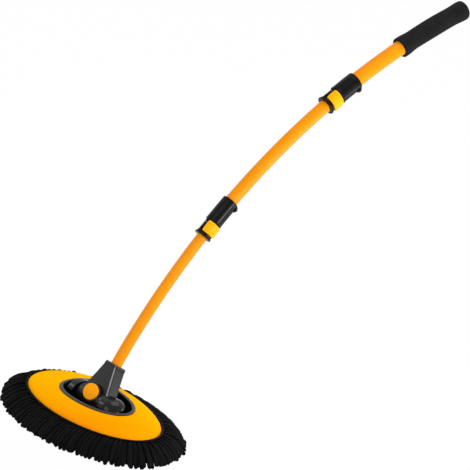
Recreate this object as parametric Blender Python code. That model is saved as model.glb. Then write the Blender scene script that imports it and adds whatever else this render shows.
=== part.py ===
"""Car wash brush with an oval chenille head, a tilting neck and a curved telescopic pole.

The head lies flat, its sole on the plane z = 0 under the origin and its long side along X. The hinge pin
lies along X above the origin. The pole leans towards +Y and follows one circular arc in the YZ plane, so
its tubes slide in each other by turning about the centre of that arc.

Three sets of coordinates are used, and every piece is put in the world by one of them:
- head pieces are drawn in world coordinates
- neck pieces are drawn as (x, n, t): t along the neck from the hinge, n towards its front
- pole pieces are drawn as (x, n, s): s along the arc from the top of the neck, n away from its centre
"""

import math

import bmesh
import bpy
from mathutils import Vector

MM = 0.001

# Fits that many pieces share
SEAT_GAP = 0.3 * MM
RUN_GAP = 0.35 * MM
PIN_GAP = 0.15 * MM
OVERRUN = 3.0 * MM
EDGE_ROUND = 0.5 * MM
SHARP_ANGLE = math.radians(38.0)

# Chenille cover, from the sole up
FINGER_LENGTH = 15.0 * MM
BACKING_THICKNESS = 2.0 * MM
FINGER_COLUMNS = 17
FINGER_ROWS = 9
FINGER_INSET = 2.6 * MM
FINGER_TIP_SHARE = 0.8
FOAM_THICKNESS = 4.4 * MM
SKIN_THICKNESS = 2.0 * MM
SKIN_HEIGHT = 13.2 * MM
HEM_WIDTH = 4.2 * MM
HEM_HEIGHT = 3.0 * MM
HEM_SIDES = 6
STRANDS_ROUND = 80
STRAND_INSET = 0.9 * MM
STRAND_TIP_SHARE = 0.85
STRAND_SWAY = 1.1 * MM
STRAND_SWAY_TURN = 2.4
# Each row of strands: how far its middle and its tip lie out from the skin, and how far down
LOWER_STRAND_REACH = (13.0 * MM, 28.0 * MM)
LOWER_STRAND_DROP = (5.0 * MM, 16.0 * MM)
UPPER_STRAND_REACH = (17.0 * MM, 35.0 * MM)
UPPER_STRAND_DROP = (4.0 * MM, 19.0 * MM)

# Shell, plate and tub of the head
OVAL_POINTS = 48
SHELL_HALF_LENGTH = 128.0 * MM
SHELL_HALF_WIDTH = 68.0 * MM
SHELL_WALL = 2.5 * MM
SHELL_DOME = 16.3 * MM
SHELL_SKIRT = 6.2 * MM
DOME_SHARES = (0.0, 0.25, 0.5, 0.7, 0.85, 0.95, 1.0)
INNER_DOME_SHARES = (0.95, 0.8, 0.45, 0.0)
DOME_POWER = 2.2
DOME_FALL_POWER = 0.75
OPENING_HALF_LENGTH = 73.0 * MM
OPENING_HALF_WIDTH = 36.6 * MM
PLATE_THICKNESS = 2.5 * MM
TUB_FLOOR = 2.5 * MM
TUB_WALL = 1.6 * MM
TUB_DRAFT = 5.0 * MM
RIM_WIDTH = 2.6 * MM
RIM_HEIGHT = 1.6 * MM
SCREW_SPREAD_X = 48.0 * MM
SCREW_SPREAD_Y = 16.0 * MM
PLATE_SCREW_RADIUS = 1.5 * MM
PLATE_SCREW_HEAD = 2.8 * MM
PLATE_SCREW_HEAD_HEIGHT = 1.3 * MM
PLATE_SCREW_BITE = 1.2 * MM
SMALL_SIDES = 12

# Hinge
HINGE_CLEARANCE = 15.6 * MM
TOWER_RADIUS = 14.3 * MM
TOWER_STRAIGHT = 20.0 * MM
TOWER_NOSE = 16.0 * MM
TOWER_STEPS = 14
NOSE_ANGLES = (24.0, 46.0, 63.0, 76.0)
DRUM_RADIUS = 12.6 * MM
DRUM_SIDES = 24
TOWER_GAP = 0.5 * MM
PIN_RADIUS = 2.5 * MM
PIN_BITE = 12.0 * MM
BUSH_WALL = 2.0 * MM
BUSH_LENGTH = 12.0 * MM

# Neck
NECK_LEAN = math.radians(30.0)
NECK_LENGTH = 55.0 * MM
NECK_TOP_HALF_WIDTH = 11.2 * MM
NECK_ROOT_HALF_WIDTH = 28.3 * MM
NECK_DEPTH = 22.0 * MM
NECK_CORNER = 2.0 * MM
NECK_ROOT = 4.0 * MM
NECK_OFFSET = 4.0 * MM
SOCKET_DEPTH = 35.0 * MM
NECK_SCREW_HEIGHT = 40.0 * MM
NECK_SCREW_RADIUS = 1.6 * MM
NECK_SCREW_HEAD = 3.2 * MM
NECK_SCREW_HEAD_HEIGHT = 1.5 * MM

# Tilt button and its collar
BUTTON_HEIGHT_ON_NECK = 6.0 * MM
BUTTON_RADIUS = 12.9 * MM
BUTTON_RISE = 2.7 * MM
BUTTON_FILLET = 2.6 * MM
BUTTON_FILLET_RISE = 2.0 * MM
BUTTON_CROWN = 0.4 * MM
BUTTON_WALL = 2.0 * MM
BUTTON_SKIRT = 4.0 * MM
BUTTON_TRAVEL = 3.0 * MM
BUTTON_SIDES = 24
FILLET_STEPS = 3
CORNER_STEPS = 2
COLLAR_WALL = 2.1 * MM
COLLAR_FRONT = 12.0 * MM
SPRING_RADIUS = 7.0 * MM
SPRING_WIRE = 0.35 * MM
SPRING_PITCH = 1.25 * MM
SPRING_TURNS = 2.2
SPRING_TURN_POINTS = 14

# Pole
ARC_RADIUS = 1067.0 * MM
LOWER_RADIUS = 8.0 * MM
MIDDLE_RADIUS = 9.5 * MM
UPPER_RADIUS = 11.0 * MM
TUBE_WALL = 0.8 * MM
TUBE_SIDES = 16
TUBE_STEP = 36.0 * MM
LOWER_SHOWN = 218.0 * MM
MIDDLE_SHOWN = 200.0 * MM
UPPER_SHOWN = 89.0 * MM
LOWER_INSERTED = 60.0 * MM
MIDDLE_INSERTED = 60.0 * MM
GUIDE_STEM = 10.0 * MM
GUIDE_HEAD = 5.0 * MM

# Flip locks
LOCK_WALL = 3.0 * MM
WAIST_DEPTH = 1.5 * MM
FLANGE_LENGTH = 3.6 * MM
FLANGE_LIP = 0.8 * MM
WINDOW_LENGTH = 21.2 * MM
SHOULDER = 1.6 * MM
LOWER_SLEEVE_LENGTH = 40.0 * MM
UPPER_SLEEVE_LENGTH = 36.0 * MM
SLEEVE_CHAMFER = 0.8 * MM
LOCK_STEP = 14.0 * MM
LOCK_SIDES = 24
SHOE_THICKNESS = 1.3 * MM
LEVER_THICKNESS = 3.2 * MM
LEVER_LIP = 1.7 * MM
LEVER_PIN_ANGLE = math.radians(94.0)
LEVER_TIP_ANGLE = math.radians(-56.0)
LEVER_LIP_ANGLE = math.radians(16.0)
LEVER_SIDE_ROOM = 0.6 * MM
LEVER_ARC_STEPS = 12
LEVER_END_STEPS = 6
LOCK_PIN_RADIUS = 0.75 * MM
LOCK_PIN_BITE = 3.0 * MM
EAR_WALL = 1.1 * MM
EAR_LENGTH = 6.0 * MM
LOCK_SCREW_ANGLE = math.radians(-42.0)
LOCK_SCREW_INSET = 5.4 * MM
LOCK_SCREW_RADIUS = 1.5 * MM
LOCK_SCREW_HEAD = 2.7 * MM
LOCK_SCREW_HEAD_HEIGHT = 1.0 * MM
LOCK_BOSS_RADIUS = 4.5 * MM
LOCK_BOSS_HEIGHT = 1.5 * MM

# Foam grip
GRIP_LENGTH = 127.0 * MM
GRIP_WALL = 2.6 * MM
GRIP_LIP = 0.7 * MM
GRIP_LIP_LENGTH = 5.0 * MM
GRIP_END_ROUND = 8.0 * MM
GRIP_END_THICKNESS = 5.0 * MM
GRIP_SIDES = 20
PLUG_FLANGE = 2.0 * MM
PLUG_STEM = 14.0 * MM

# Heights of the head's layers above the floor
BACKING_TOP = FINGER_LENGTH + BACKING_THICKNESS
FOAM_BOTTOM = BACKING_TOP + SEAT_GAP
FOAM_TOP = FOAM_BOTTOM + FOAM_THICKNESS
PLATE_BOTTOM = FOAM_TOP + SEAT_GAP
PLATE_TOP = PLATE_BOTTOM + PLATE_THICKNESS
SHELL_BOTTOM = PLATE_TOP + SEAT_GAP
SHELL_EDGE = SHELL_BOTTOM + SHELL_SKIRT
SHELL_TOP = SHELL_EDGE + SHELL_DOME
TUB_TOP = SHELL_BOTTOM + TUB_FLOOR
SKIN_BOTTOM = BACKING_TOP + SEAT_GAP
SKIN_TOP = SKIN_BOTTOM + SKIN_HEIGHT
HINGE_HEIGHT = TUB_TOP + HINGE_CLEARANCE

# Directions and centres
ALONG_X = Vector((1.0, 0.0, 0.0))
NECK_FRONT = Vector((0.0, -math.cos(NECK_LEAN), math.sin(NECK_LEAN)))
NECK_UP = Vector((0.0, math.sin(NECK_LEAN), math.cos(NECK_LEAN)))
HINGE = Vector((0.0, 0.0, HINGE_HEIGHT))
NECK_TOP = HINGE + NECK_UP * NECK_LENGTH - NECK_FRONT * NECK_OFFSET
ARC_CENTRE = NECK_TOP - NECK_FRONT * ARC_RADIUS

# Places along the arc
LOWER_LOCK_START = LOWER_SHOWN
LOWER_LOCK_END = LOWER_LOCK_START + FLANGE_LENGTH + WINDOW_LENGTH + LOWER_SLEEVE_LENGTH
UPPER_LOCK_START = LOWER_LOCK_END + MIDDLE_SHOWN
UPPER_LOCK_END = UPPER_LOCK_START + FLANGE_LENGTH + WINDOW_LENGTH + UPPER_SLEEVE_LENGTH
GRIP_START = UPPER_LOCK_END + UPPER_SHOWN
GRIP_END = GRIP_START + GRIP_LENGTH
LOCK_SEAT = FLANGE_LENGTH + WINDOW_LENGTH + SHOULDER + SEAT_GAP
UPPER_TUBE_END = GRIP_END - GRIP_END_THICKNESS - PLUG_FLANGE - SEAT_GAP - SEAT_GAP

# Button places along n, out from the hinge axis
BUTTON_RIM = COLLAR_FRONT + SEAT_GAP
BUTTON_FOOT = BUTTON_RIM - BUTTON_SKIRT
POCKET_FLOOR = BUTTON_FOOT - BUTTON_TRAVEL - SEAT_GAP

COLOURS = {
    "shell_yellow": ((1.0, 0.445, 0.003), 0.32, 0.0),
    "lever_yellow": ((0.97, 0.52, 0.01), 0.3, 0.0),
    "button_orange": ((0.98, 0.45, 0.006), 0.28, 0.0),
    "tube_orange": ((0.95, 0.36, 0.005), 0.3, 0.2),
    "neck_grey": ((0.033, 0.034, 0.036), 0.38, 0.0),
    "lock_black": ((0.012, 0.012, 0.013), 0.18, 0.0),
    "plate_black": ((0.02, 0.02, 0.021), 0.5, 0.0),
    "chenille_black": ((0.006, 0.006, 0.007), 0.95, 0.0),
    "foam_black": ((0.011, 0.011, 0.011), 0.9, 0.0),
    "nylon_white": ((0.7, 0.7, 0.67), 0.45, 0.0),
    "steel": ((0.6, 0.6, 0.61), 0.28, 1.0),
}

PIVOTS = {
    "upper_pole": NECK_TOP,
    "middle_pole": ARC_CENTRE,
    "lower_pole": ARC_CENTRE,
    "head": HINGE,
    "button": HINGE + NECK_UP * BUTTON_HEIGHT_ON_NECK,
}


def clear_scene():
    for obj in list(bpy.data.objects):
        bpy.data.objects.remove(obj)


def material(name):
    """The Principled material of one finish, made once."""
    found = bpy.data.materials.get(name)
    if found:
        return found
    colour, roughness, metallic = COLOURS[name]
    made = bpy.data.materials.new(name)
    made.use_nodes = True
    shader = made.node_tree.nodes["Principled BSDF"]
    shader.inputs["Base Color"].default_value = (*colour, 1.0)
    shader.inputs["Roughness"].default_value = roughness
    shader.inputs["Metallic"].default_value = metallic
    made.diffuse_color = (*colour, 1.0)
    return made


def on_neck(point):
    """World place of (x, n, t) on the straight neck."""
    return HINGE + ALONG_X * point.x + NECK_FRONT * point.y + NECK_UP * point.z


def on_pole(point):
    """World place of (x, n, s) on the curved pole."""
    turn = NECK_LEAN + point.z / ARC_RADIUS
    outward = Vector((0.0, -math.cos(turn), math.sin(turn)))
    return ARC_CENTRE + ALONG_X * point.x + outward * (ARC_RADIUS + point.y)


def in_world(point):
    return point


def pole_direction(s):
    """Tangent of the pole, towards the grip."""
    turn = NECK_LEAN + s / ARC_RADIUS
    return Vector((0.0, math.sin(turn), math.cos(turn)))


def add_pivots():
    """One empty on each joint's axis, with the moving pieces parented to it."""
    for name, place in PIVOTS.items():
        empty = bpy.data.objects.new(name + "_pivot", None)
        empty.location = place
        bpy.context.scene.collection.objects.link(empty)


def add_piece(name, bm, place, finish, pivot, hidden=False):
    """Puts a drawn shape in the world by place, and makes it an object on its pivot."""
    centre = PIVOTS[pivot]
    for vert in bm.verts:
        vert.co = place(vert.co.copy()) - centre
    bmesh.ops.recalc_face_normals(bm, faces=bm.faces)
    mesh = bpy.data.meshes.new(name)
    bm.to_mesh(mesh)
    bm.free()
    mesh.shade_smooth()
    mesh.set_sharp_from_angle(angle=SHARP_ANGLE)
    mesh.materials.append(material(finish))
    obj = bpy.data.objects.new(name, mesh)
    bpy.context.scene.collection.objects.link(obj)
    obj.parent = bpy.data.objects[pivot + "_pivot"]
    if hidden:
        obj.hide_render = True
        obj.display_type = "WIRE"
    return obj


def combine(obj, other, operation):
    """A Boolean of obj with a hidden helper shape."""
    modifier = obj.modifiers.new(other.name, "BOOLEAN")
    modifier.operation = operation
    modifier.object = other
    modifier.solver = "EXACT"


def helper(name, bm, place, obj, operation, pivot):
    other = add_piece(name, bm, place, "plate_black", pivot, hidden=True)
    combine(obj, other, operation)


def loft(rings, ring_path=False):
    """Skin over rings of points: capped at both ends, or joined end to end as a ring path."""
    bm = bmesh.new()
    loops = [[bm.verts.new(point) for point in ring] for ring in rings]
    pairs = list(zip(loops, loops[1:]))
    if ring_path:
        pairs.append((loops[-1], loops[0]))
    for first, second in pairs:
        for i in range(len(first)):
            j = (i + 1) % len(first)
            bm.faces.new((first[i], first[j], second[j], second[i]))
    if not ring_path:
        bm.faces.new(loops[0][::-1])
        bm.faces.new(loops[-1])
    return bm


def oval(half_length, half_width, z, count=OVAL_POINTS):
    turns = [math.tau * i / count for i in range(count)]
    return [Vector((half_length * math.cos(t), half_width * math.sin(t), z)) for t in turns]


def circle(radius, height, count, centre=(0.0, 0.0)):
    """Circle in the first two coordinates, at the given third one."""
    turns = [math.tau * i / count for i in range(count)]
    return [
        Vector((centre[0] + radius * math.cos(t), centre[1] + radius * math.sin(t), height))
        for t in turns
    ]


def turned(profile, count, centre=(0.0, 0.0), ring_path=False):
    """Turned shape from (radius, height) pairs."""
    return loft([circle(radius, height, count, centre) for radius, height in profile], ring_path)


def swap_axes(bm, order):
    """Reads the coordinates of each point in another order."""
    for vert in bm.verts:
        vert.co = Vector([vert.co[axis] for axis in order])
    return bm


def across(bm):
    """Turns a shape drawn along its third coordinate to lie along X."""
    return swap_axes(bm, (2, 0, 1))


def to_front(bm):
    """Turns a shape drawn along its third coordinate to point along n."""
    return swap_axes(bm, (0, 2, 1))


def stations(start, end, step):
    count = max(1, math.ceil((end - start) / step))
    return [start + (end - start) * i / count for i in range(count + 1)]


def chenille_pad():
    """Sole of the cover: a grid on the oval backing, with a finger drawn down from each cell."""
    half_length = SHELL_HALF_LENGTH + SEAT_GAP + SKIN_THICKNESS
    half_width = SHELL_HALF_WIDTH + SEAT_GAP + SKIN_THICKNESS
    bm = bmesh.new()
    grid = []
    for row in range(FINGER_ROWS + 1):
        v = 2 * row / FINGER_ROWS - 1
        line = []
        for column in range(FINGER_COLUMNS + 1):
            u = 2 * column / FINGER_COLUMNS - 1
            x = half_length * u * math.sqrt(1 - v * v / 2)
            y = half_width * v * math.sqrt(1 - u * u / 2)
            line.append(bm.verts.new((x, y, FINGER_LENGTH)))
        grid.append(line)
    cells = []
    for low, high in zip(grid, grid[1:]):
        for i in range(FINGER_COLUMNS):
            cells.append(bm.faces.new((low[i], high[i], high[i + 1], low[i + 1])))
    edge = [e for e in bm.edges if e.is_boundary]
    side = bmesh.ops.extrude_edge_only(bm, edges=edge)["geom"]
    top = [v for v in side if isinstance(v, bmesh.types.BMVert)]
    bmesh.ops.translate(bm, verts=top, vec=(0, 0, BACKING_THICKNESS))
    bmesh.ops.contextual_create(bm, geom=[e for e in bm.edges if e.is_boundary])
    bmesh.ops.inset_individual(bm, faces=cells, thickness=FINGER_INSET, use_even_offset=True)
    tips = bmesh.ops.extrude_discrete_faces(bm, faces=cells)["faces"]
    for tip in tips:
        centre = tip.calc_center_median()
        for vert in tip.verts:
            vert.co = centre + (vert.co - centre) * FINGER_TIP_SHARE
            vert.co.z = 0.0
    add_piece("chenille_pad", bm, in_world, "chenille_black", "head")


def move_strands(faces, reach, drop, before, sway):
    """Takes each strand's end face from its place before to the next one, square to the strand's path."""
    path_out = reach - before[0]
    path_down = drop - before[1]
    length = math.hypot(path_out, path_down)
    down = Vector((0, 0, -1))
    for number, face in enumerate(faces):
        outward = Vector((face.normal.x, face.normal.y, 0)).normalized()
        along = outward.cross(down)
        tall = (outward * path_down - down * path_out) / length
        centre = face.calc_center_median()
        target = centre + outward * path_out + down * path_down
        target += along * (sway * math.sin(STRAND_SWAY_TURN * number))
        for vert in face.verts:
            offset = vert.co - centre
            wide = along * offset.dot(along)
            high = (offset - wide).length * math.copysign(STRAND_TIP_SHARE, offset.z)
            vert.co = target + wide * STRAND_TIP_SHARE + tall * high


def chenille_fringe():
    """Side band of the cover, with two rows of strands drawn out of it and bent down."""
    inner_length = SHELL_HALF_LENGTH + SEAT_GAP
    inner_width = SHELL_HALF_WIDTH + SEAT_GAP
    outer_length = inner_length + SKIN_THICKNESS
    outer_width = inner_width + SKIN_THICKNESS
    middle = (SKIN_BOTTOM + SKIN_TOP) / 2
    rings = [
        oval(outer_length, outer_width, SKIN_BOTTOM, STRANDS_ROUND),
        oval(outer_length, outer_width, middle, STRANDS_ROUND),
        oval(outer_length, outer_width, SKIN_TOP, STRANDS_ROUND),
        oval(inner_length, inner_width, SKIN_TOP, STRANDS_ROUND),
        oval(inner_length, inner_width, SKIN_BOTTOM, STRANDS_ROUND),
    ]
    bm = loft(rings, ring_path=True)
    bm.faces.ensure_lookup_table()
    rows = [bm.faces[:STRANDS_ROUND], bm.faces[STRANDS_ROUND : 2 * STRANDS_ROUND]]
    bmesh.ops.recalc_face_normals(bm, faces=bm.faces)
    bends = [(LOWER_STRAND_REACH, LOWER_STRAND_DROP), (UPPER_STRAND_REACH, UPPER_STRAND_DROP)]
    for cells, (reaches, drops) in zip(rows, bends):
        bmesh.ops.inset_individual(bm, faces=cells, thickness=STRAND_INSET, use_even_offset=True)
        faces = cells
        before = (0.0, 0.0)
        for reach, drop, sway in zip(reaches, drops, (0.0, STRAND_SWAY)):
            faces = bmesh.ops.extrude_discrete_faces(bm, faces=faces)["faces"]
            move_strands(faces, reach, drop, before, sway)
            before = (reach, drop)
    add_piece("chenille_fringe", bm, in_world, "chenille_black", "head")


def cover_hem():
    """Elastic hem that closes the cover round the shell."""
    half_length = SHELL_HALF_LENGTH + SEAT_GAP + HEM_WIDTH / 2
    half_width = SHELL_HALF_WIDTH + SEAT_GAP + HEM_WIDTH / 2
    height = SKIN_TOP + SEAT_GAP + HEM_HEIGHT / 2
    rings = []
    for i in range(HEM_SIDES):
        turn = math.tau * (i + 0.5) / HEM_SIDES
        out = HEM_WIDTH / 2 * math.cos(turn)
        up = HEM_HEIGHT / 2 * math.sin(turn)
        rings.append(oval(half_length + out, half_width + out, height + up))
    add_piece("cover_hem", loft(rings, ring_path=True), in_world, "chenille_black", "head")


def oval_slab(name, inset, bottom, top, finish):
    half_length = SHELL_HALF_LENGTH - inset
    half_width = SHELL_HALF_WIDTH - inset
    rings = [oval(half_length, half_width, bottom), oval(half_length, half_width, top)]
    return add_piece(name, loft(rings), in_world, finish, "head")


def foam_core():
    oval_slab("foam_core", SEAT_GAP, FOAM_BOTTOM, FOAM_TOP, "foam_black")


def screw_places():
    return [(x, y) for x in (-SCREW_SPREAD_X, SCREW_SPREAD_X) for y in (-SCREW_SPREAD_Y, SCREW_SPREAD_Y)]


def head_plate():
    """Plate below the shell, with a stepped hole for each screw."""
    plate = oval_slab("head_plate", SEAT_GAP, PLATE_BOTTOM, PLATE_TOP, "plate_black")
    head = PLATE_SCREW_HEAD + SEAT_GAP
    shank = PLATE_SCREW_RADIUS + SEAT_GAP
    step = PLATE_BOTTOM + PLATE_SCREW_HEAD_HEIGHT
    for number, place in enumerate(screw_places(), 1):
        profile = [(head, PLATE_BOTTOM - OVERRUN), (head, step), (shank, step), (shank, PLATE_TOP + OVERRUN)]
        cutter = turned(profile, SMALL_SIDES, place)
        helper(f"plate_hole_{number}", cutter, in_world, plate, "DIFFERENCE", "head")


def plate_screws():
    """Screws that pull the tub down on the plate."""
    seat = PLATE_BOTTOM + PLATE_SCREW_HEAD_HEIGHT - SEAT_GAP
    tip = SHELL_BOTTOM + PLATE_SCREW_BITE
    for number, place in enumerate(screw_places(), 1):
        profile = [
            (PLATE_SCREW_HEAD, PLATE_BOTTOM),
            (PLATE_SCREW_HEAD, seat),
            (PLATE_SCREW_RADIUS, seat),
            (PLATE_SCREW_RADIUS, tip),
        ]
        screw = turned(profile, SMALL_SIDES, place)
        add_piece(f"plate_screw_{number}", screw, in_world, "steel", "head")


def dome_height(share):
    """Height of the shell at a share of the way from its opening to its edge."""
    return SHELL_EDGE + SHELL_DOME * (1 - share**DOME_POWER) ** DOME_FALL_POWER


def shell_ring(share, inset, lowered):
    half_length = OPENING_HALF_LENGTH + (SHELL_HALF_LENGTH - OPENING_HALF_LENGTH) * share
    half_width = OPENING_HALF_WIDTH + (SHELL_HALF_WIDTH - OPENING_HALF_WIDTH) * share
    return oval(half_length - inset, half_width - inset, dome_height(share) - lowered)


def head_shell():
    """Domed ring with an open underside: outer skin, skirt, then the inner skin one wall below."""
    rings = [shell_ring(share, 0.0, 0.0) for share in DOME_SHARES]
    rings.append(oval(SHELL_HALF_LENGTH, SHELL_HALF_WIDTH, SHELL_BOTTOM))
    inner_length = SHELL_HALF_LENGTH - SHELL_WALL
    inner_width = SHELL_HALF_WIDTH - SHELL_WALL
    rings.append(oval(inner_length, inner_width, SHELL_BOTTOM))
    rings += [shell_ring(share, SHELL_WALL * share, SHELL_WALL) for share in INNER_DOME_SHARES]
    add_piece("head_shell", loft(rings, ring_path=True), in_world, "shell_yellow", "head")


def tub_bowl():
    """Bowl with a rim that laps over the shell's opening."""
    wall_length = OPENING_HALF_LENGTH - SEAT_GAP
    wall_width = OPENING_HALF_WIDTH - SEAT_GAP
    lip = SHELL_TOP + SEAT_GAP
    rim = lip + RIM_HEIGHT
    inset = TUB_DRAFT + TUB_WALL
    rings = [
        oval(wall_length - inset, wall_width - inset, TUB_TOP),
        oval(wall_length - TUB_WALL, wall_width - TUB_WALL, lip),
        oval(wall_length - TUB_WALL / 2, wall_width - TUB_WALL / 2, rim),
        oval(wall_length + RIM_WIDTH - EDGE_ROUND, wall_width + RIM_WIDTH - EDGE_ROUND, rim),
        oval(wall_length + RIM_WIDTH, wall_width + RIM_WIDTH, rim - EDGE_ROUND),
        oval(wall_length + RIM_WIDTH, wall_width + RIM_WIDTH, lip),
        oval(wall_length, wall_width, lip),
        oval(wall_length - TUB_DRAFT, wall_width - TUB_DRAFT, SHELL_BOTTOM),
    ]
    return loft(rings)


def tower_section(x, share):
    """Round-topped section of a hinge tower, shrunk towards the floor of the tub by share."""
    root = TUB_TOP - TUB_FLOOR / 2
    radius = TOWER_RADIUS * share
    centre = TUB_TOP + HINGE_CLEARANCE * share
    points = [Vector((x, radius, root))]
    for i in range(TOWER_STEPS + 1):
        turn = math.pi * i / TOWER_STEPS
        points.append(Vector((x, radius * math.cos(turn), centre + radius * math.sin(turn))))
    points.append(Vector((x, -radius, root)))
    return points


def tower(side):
    start = NECK_ROOT_HALF_WIDTH + TOWER_GAP
    sections = [tower_section(side * start, 1.0), tower_section(side * (start + TOWER_STRAIGHT), 1.0)]
    for angle in NOSE_ANGLES:
        turn = math.radians(angle)
        x = start + TOWER_STRAIGHT + TOWER_NOSE * math.sin(turn)
        sections.append(tower_section(side * x, math.cos(turn)))
    return loft(sections)


def tower_face():
    return NECK_ROOT_HALF_WIDTH + TOWER_GAP


def hinge_base():
    """Tub with two domed towers that hold the hinge pin."""
    base = add_piece("hinge_base", tub_bowl(), in_world, "lock_black", "head")
    for name, side in (("left", -1), ("right", 1)):
        helper(f"tower_{name}", tower(side), in_world, base, "UNION", "head")
    reach = tower_face() + PIN_BITE + SEAT_GAP
    bore = turned([(PIN_RADIUS + PIN_GAP, -reach), (PIN_RADIUS + PIN_GAP, reach)], SMALL_SIDES)
    helper("tower_bore", across(bore), on_neck, base, "DIFFERENCE", "head")
    depth = SHELL_BOTTOM + PLATE_SCREW_BITE + SEAT_GAP
    for number, place in enumerate(screw_places(), 1):
        radius = PLATE_SCREW_RADIUS + SEAT_GAP
        hole = turned([(radius, SHELL_BOTTOM - OVERRUN), (radius, depth)], SMALL_SIDES, place)
        helper(f"tub_hole_{number}", hole, in_world, base, "DIFFERENCE", "head")


def hinge_pin():
    reach = tower_face() + PIN_BITE
    pin = turned([(PIN_RADIUS, -reach), (PIN_RADIUS, reach)], SMALL_SIDES)
    add_piece("hinge_pin", across(pin), on_neck, "steel", "head")


def neck_ring(t):
    """Rounded rectangle across the neck, wider towards the hinge."""
    share = (NECK_LENGTH - t) / (NECK_LENGTH - NECK_ROOT)
    half_width = NECK_TOP_HALF_WIDTH + (NECK_ROOT_HALF_WIDTH - NECK_TOP_HALF_WIDTH) * share
    half_depth = NECK_DEPTH / 2
    points = []
    for quarter in range(4):
        side_x = 1 if quarter in (0, 3) else -1
        side_n = 1 if quarter in (0, 1) else -1
        for i in range(CORNER_STEPS + 1):
            turn = math.tau / 4 * (quarter + i / CORNER_STEPS)
            x = side_x * (half_width - NECK_CORNER) + NECK_CORNER * math.cos(turn)
            n = side_n * (half_depth - NECK_CORNER) + NECK_CORNER * math.sin(turn)
            points.append(Vector((x, n - NECK_OFFSET, t)))
    return points


def neck_housing():
    """Flared socket on the hinge drum, with the round collar of the button."""
    neck = add_piece("neck_housing", loft([neck_ring(NECK_ROOT), neck_ring(NECK_LENGTH)]), on_neck, "neck_grey", "lower_pole")
    width = NECK_ROOT_HALF_WIDTH
    drum = turned([(DRUM_RADIUS, -width), (DRUM_RADIUS, width)], DRUM_SIDES)
    helper("neck_drum", across(drum), on_neck, neck, "UNION", "lower_pole")
    centre = (0.0, BUTTON_HEIGHT_ON_NECK)
    outside = BUTTON_RADIUS + RUN_GAP + COLLAR_WALL
    profile = [(outside, 0.0), (outside, COLLAR_FRONT - EDGE_ROUND), (outside - EDGE_ROUND, COLLAR_FRONT)]
    collar = turned(profile, BUTTON_SIDES, centre)
    helper("neck_collar", to_front(collar), on_neck, neck, "UNION", "lower_pole")
    inside = BUTTON_RADIUS + RUN_GAP
    pocket = turned([(inside, POCKET_FLOOR), (inside, COLLAR_FRONT + OVERRUN)], BUTTON_SIDES, centre)
    helper("neck_pocket", to_front(pocket), on_neck, neck, "DIFFERENCE", "lower_pole")
    reach = NECK_ROOT_HALF_WIDTH + OVERRUN
    seat = NECK_ROOT_HALF_WIDTH - BUSH_LENGTH - SEAT_GAP
    thin = PIN_RADIUS + PIN_GAP
    wide = PIN_RADIUS + PIN_GAP + BUSH_WALL + SEAT_GAP
    profile = [(wide, -reach), (wide, -seat), (thin, -seat), (thin, seat), (wide, seat), (wide, reach)]
    helper("neck_bore", across(turned(profile, SMALL_SIDES)), on_neck, neck, "DIFFERENCE", "lower_pole")
    radius = LOWER_RADIUS + SEAT_GAP
    socket = tube_rings(radius, stations(-SOCKET_DEPTH, OVERRUN, TUBE_STEP))
    helper("neck_socket", loft(socket), on_pole, neck, "DIFFERENCE", "lower_pole")
    back = -NECK_DEPTH / 2 - NECK_OFFSET
    radius = NECK_SCREW_RADIUS + SEAT_GAP
    hole = turned([(radius, back - OVERRUN), (radius, -NECK_OFFSET)], SMALL_SIDES, (0.0, NECK_SCREW_HEIGHT))
    helper("neck_screw_hole", to_front(hole), on_neck, neck, "DIFFERENCE", "lower_pole")


def neck_screw():
    """Screw through the back of the neck that holds the tube in its socket."""
    back = -NECK_DEPTH / 2 - NECK_OFFSET - SEAT_GAP
    tip = -NECK_OFFSET - LOWER_RADIUS - RUN_GAP
    profile = [
        (NECK_SCREW_HEAD - EDGE_ROUND, back - NECK_SCREW_HEAD_HEIGHT),
        (NECK_SCREW_HEAD, back - NECK_SCREW_HEAD_HEIGHT + EDGE_ROUND),
        (NECK_SCREW_HEAD, back),
        (NECK_SCREW_RADIUS, back),
        (NECK_SCREW_RADIUS, tip),
    ]
    screw = turned(profile, SMALL_SIDES, (0.0, NECK_SCREW_HEIGHT))
    add_piece("neck_screw", to_front(screw), on_neck, "steel", "lower_pole")


def hinge_bushes():
    inner = PIN_RADIUS + PIN_GAP
    outer = inner + BUSH_WALL
    for name, side in (("left", -1), ("right", 1)):
        end = side * NECK_ROOT_HALF_WIDTH
        start = end - side * BUSH_LENGTH
        profile = [(inner, start), (outer, start), (outer, end), (inner, end)]
        bush = turned(profile, SMALL_SIDES, ring_path=True)
        add_piece(f"hinge_bush_{name}", across(bush), on_neck, "nylon_white", "lower_pole")


def tilt_button():
    """Slightly crowned cap, hollow behind, that slides in the collar."""
    inner = BUTTON_RADIUS - BUTTON_WALL
    ceiling = BUTTON_RIM
    profile = [(inner, ceiling), (inner, BUTTON_FOOT), (BUTTON_RADIUS, BUTTON_FOOT)]
    for i in range(FILLET_STEPS + 1):
        turn = math.pi / 2 * i / FILLET_STEPS
        radius = BUTTON_RADIUS - BUTTON_FILLET * (1 - math.cos(turn))
        edge = BUTTON_RIM + BUTTON_RISE - BUTTON_CROWN - BUTTON_FILLET_RISE * (1 - math.sin(turn))
        profile.append((radius, edge))
    profile.append((BUTTON_RADIUS / 2, BUTTON_RIM + BUTTON_RISE))
    button = turned(profile, BUTTON_SIDES, (0.0, BUTTON_HEIGHT_ON_NECK))
    add_piece("tilt_button", to_front(button), on_neck, "button_orange", "button")


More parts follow.
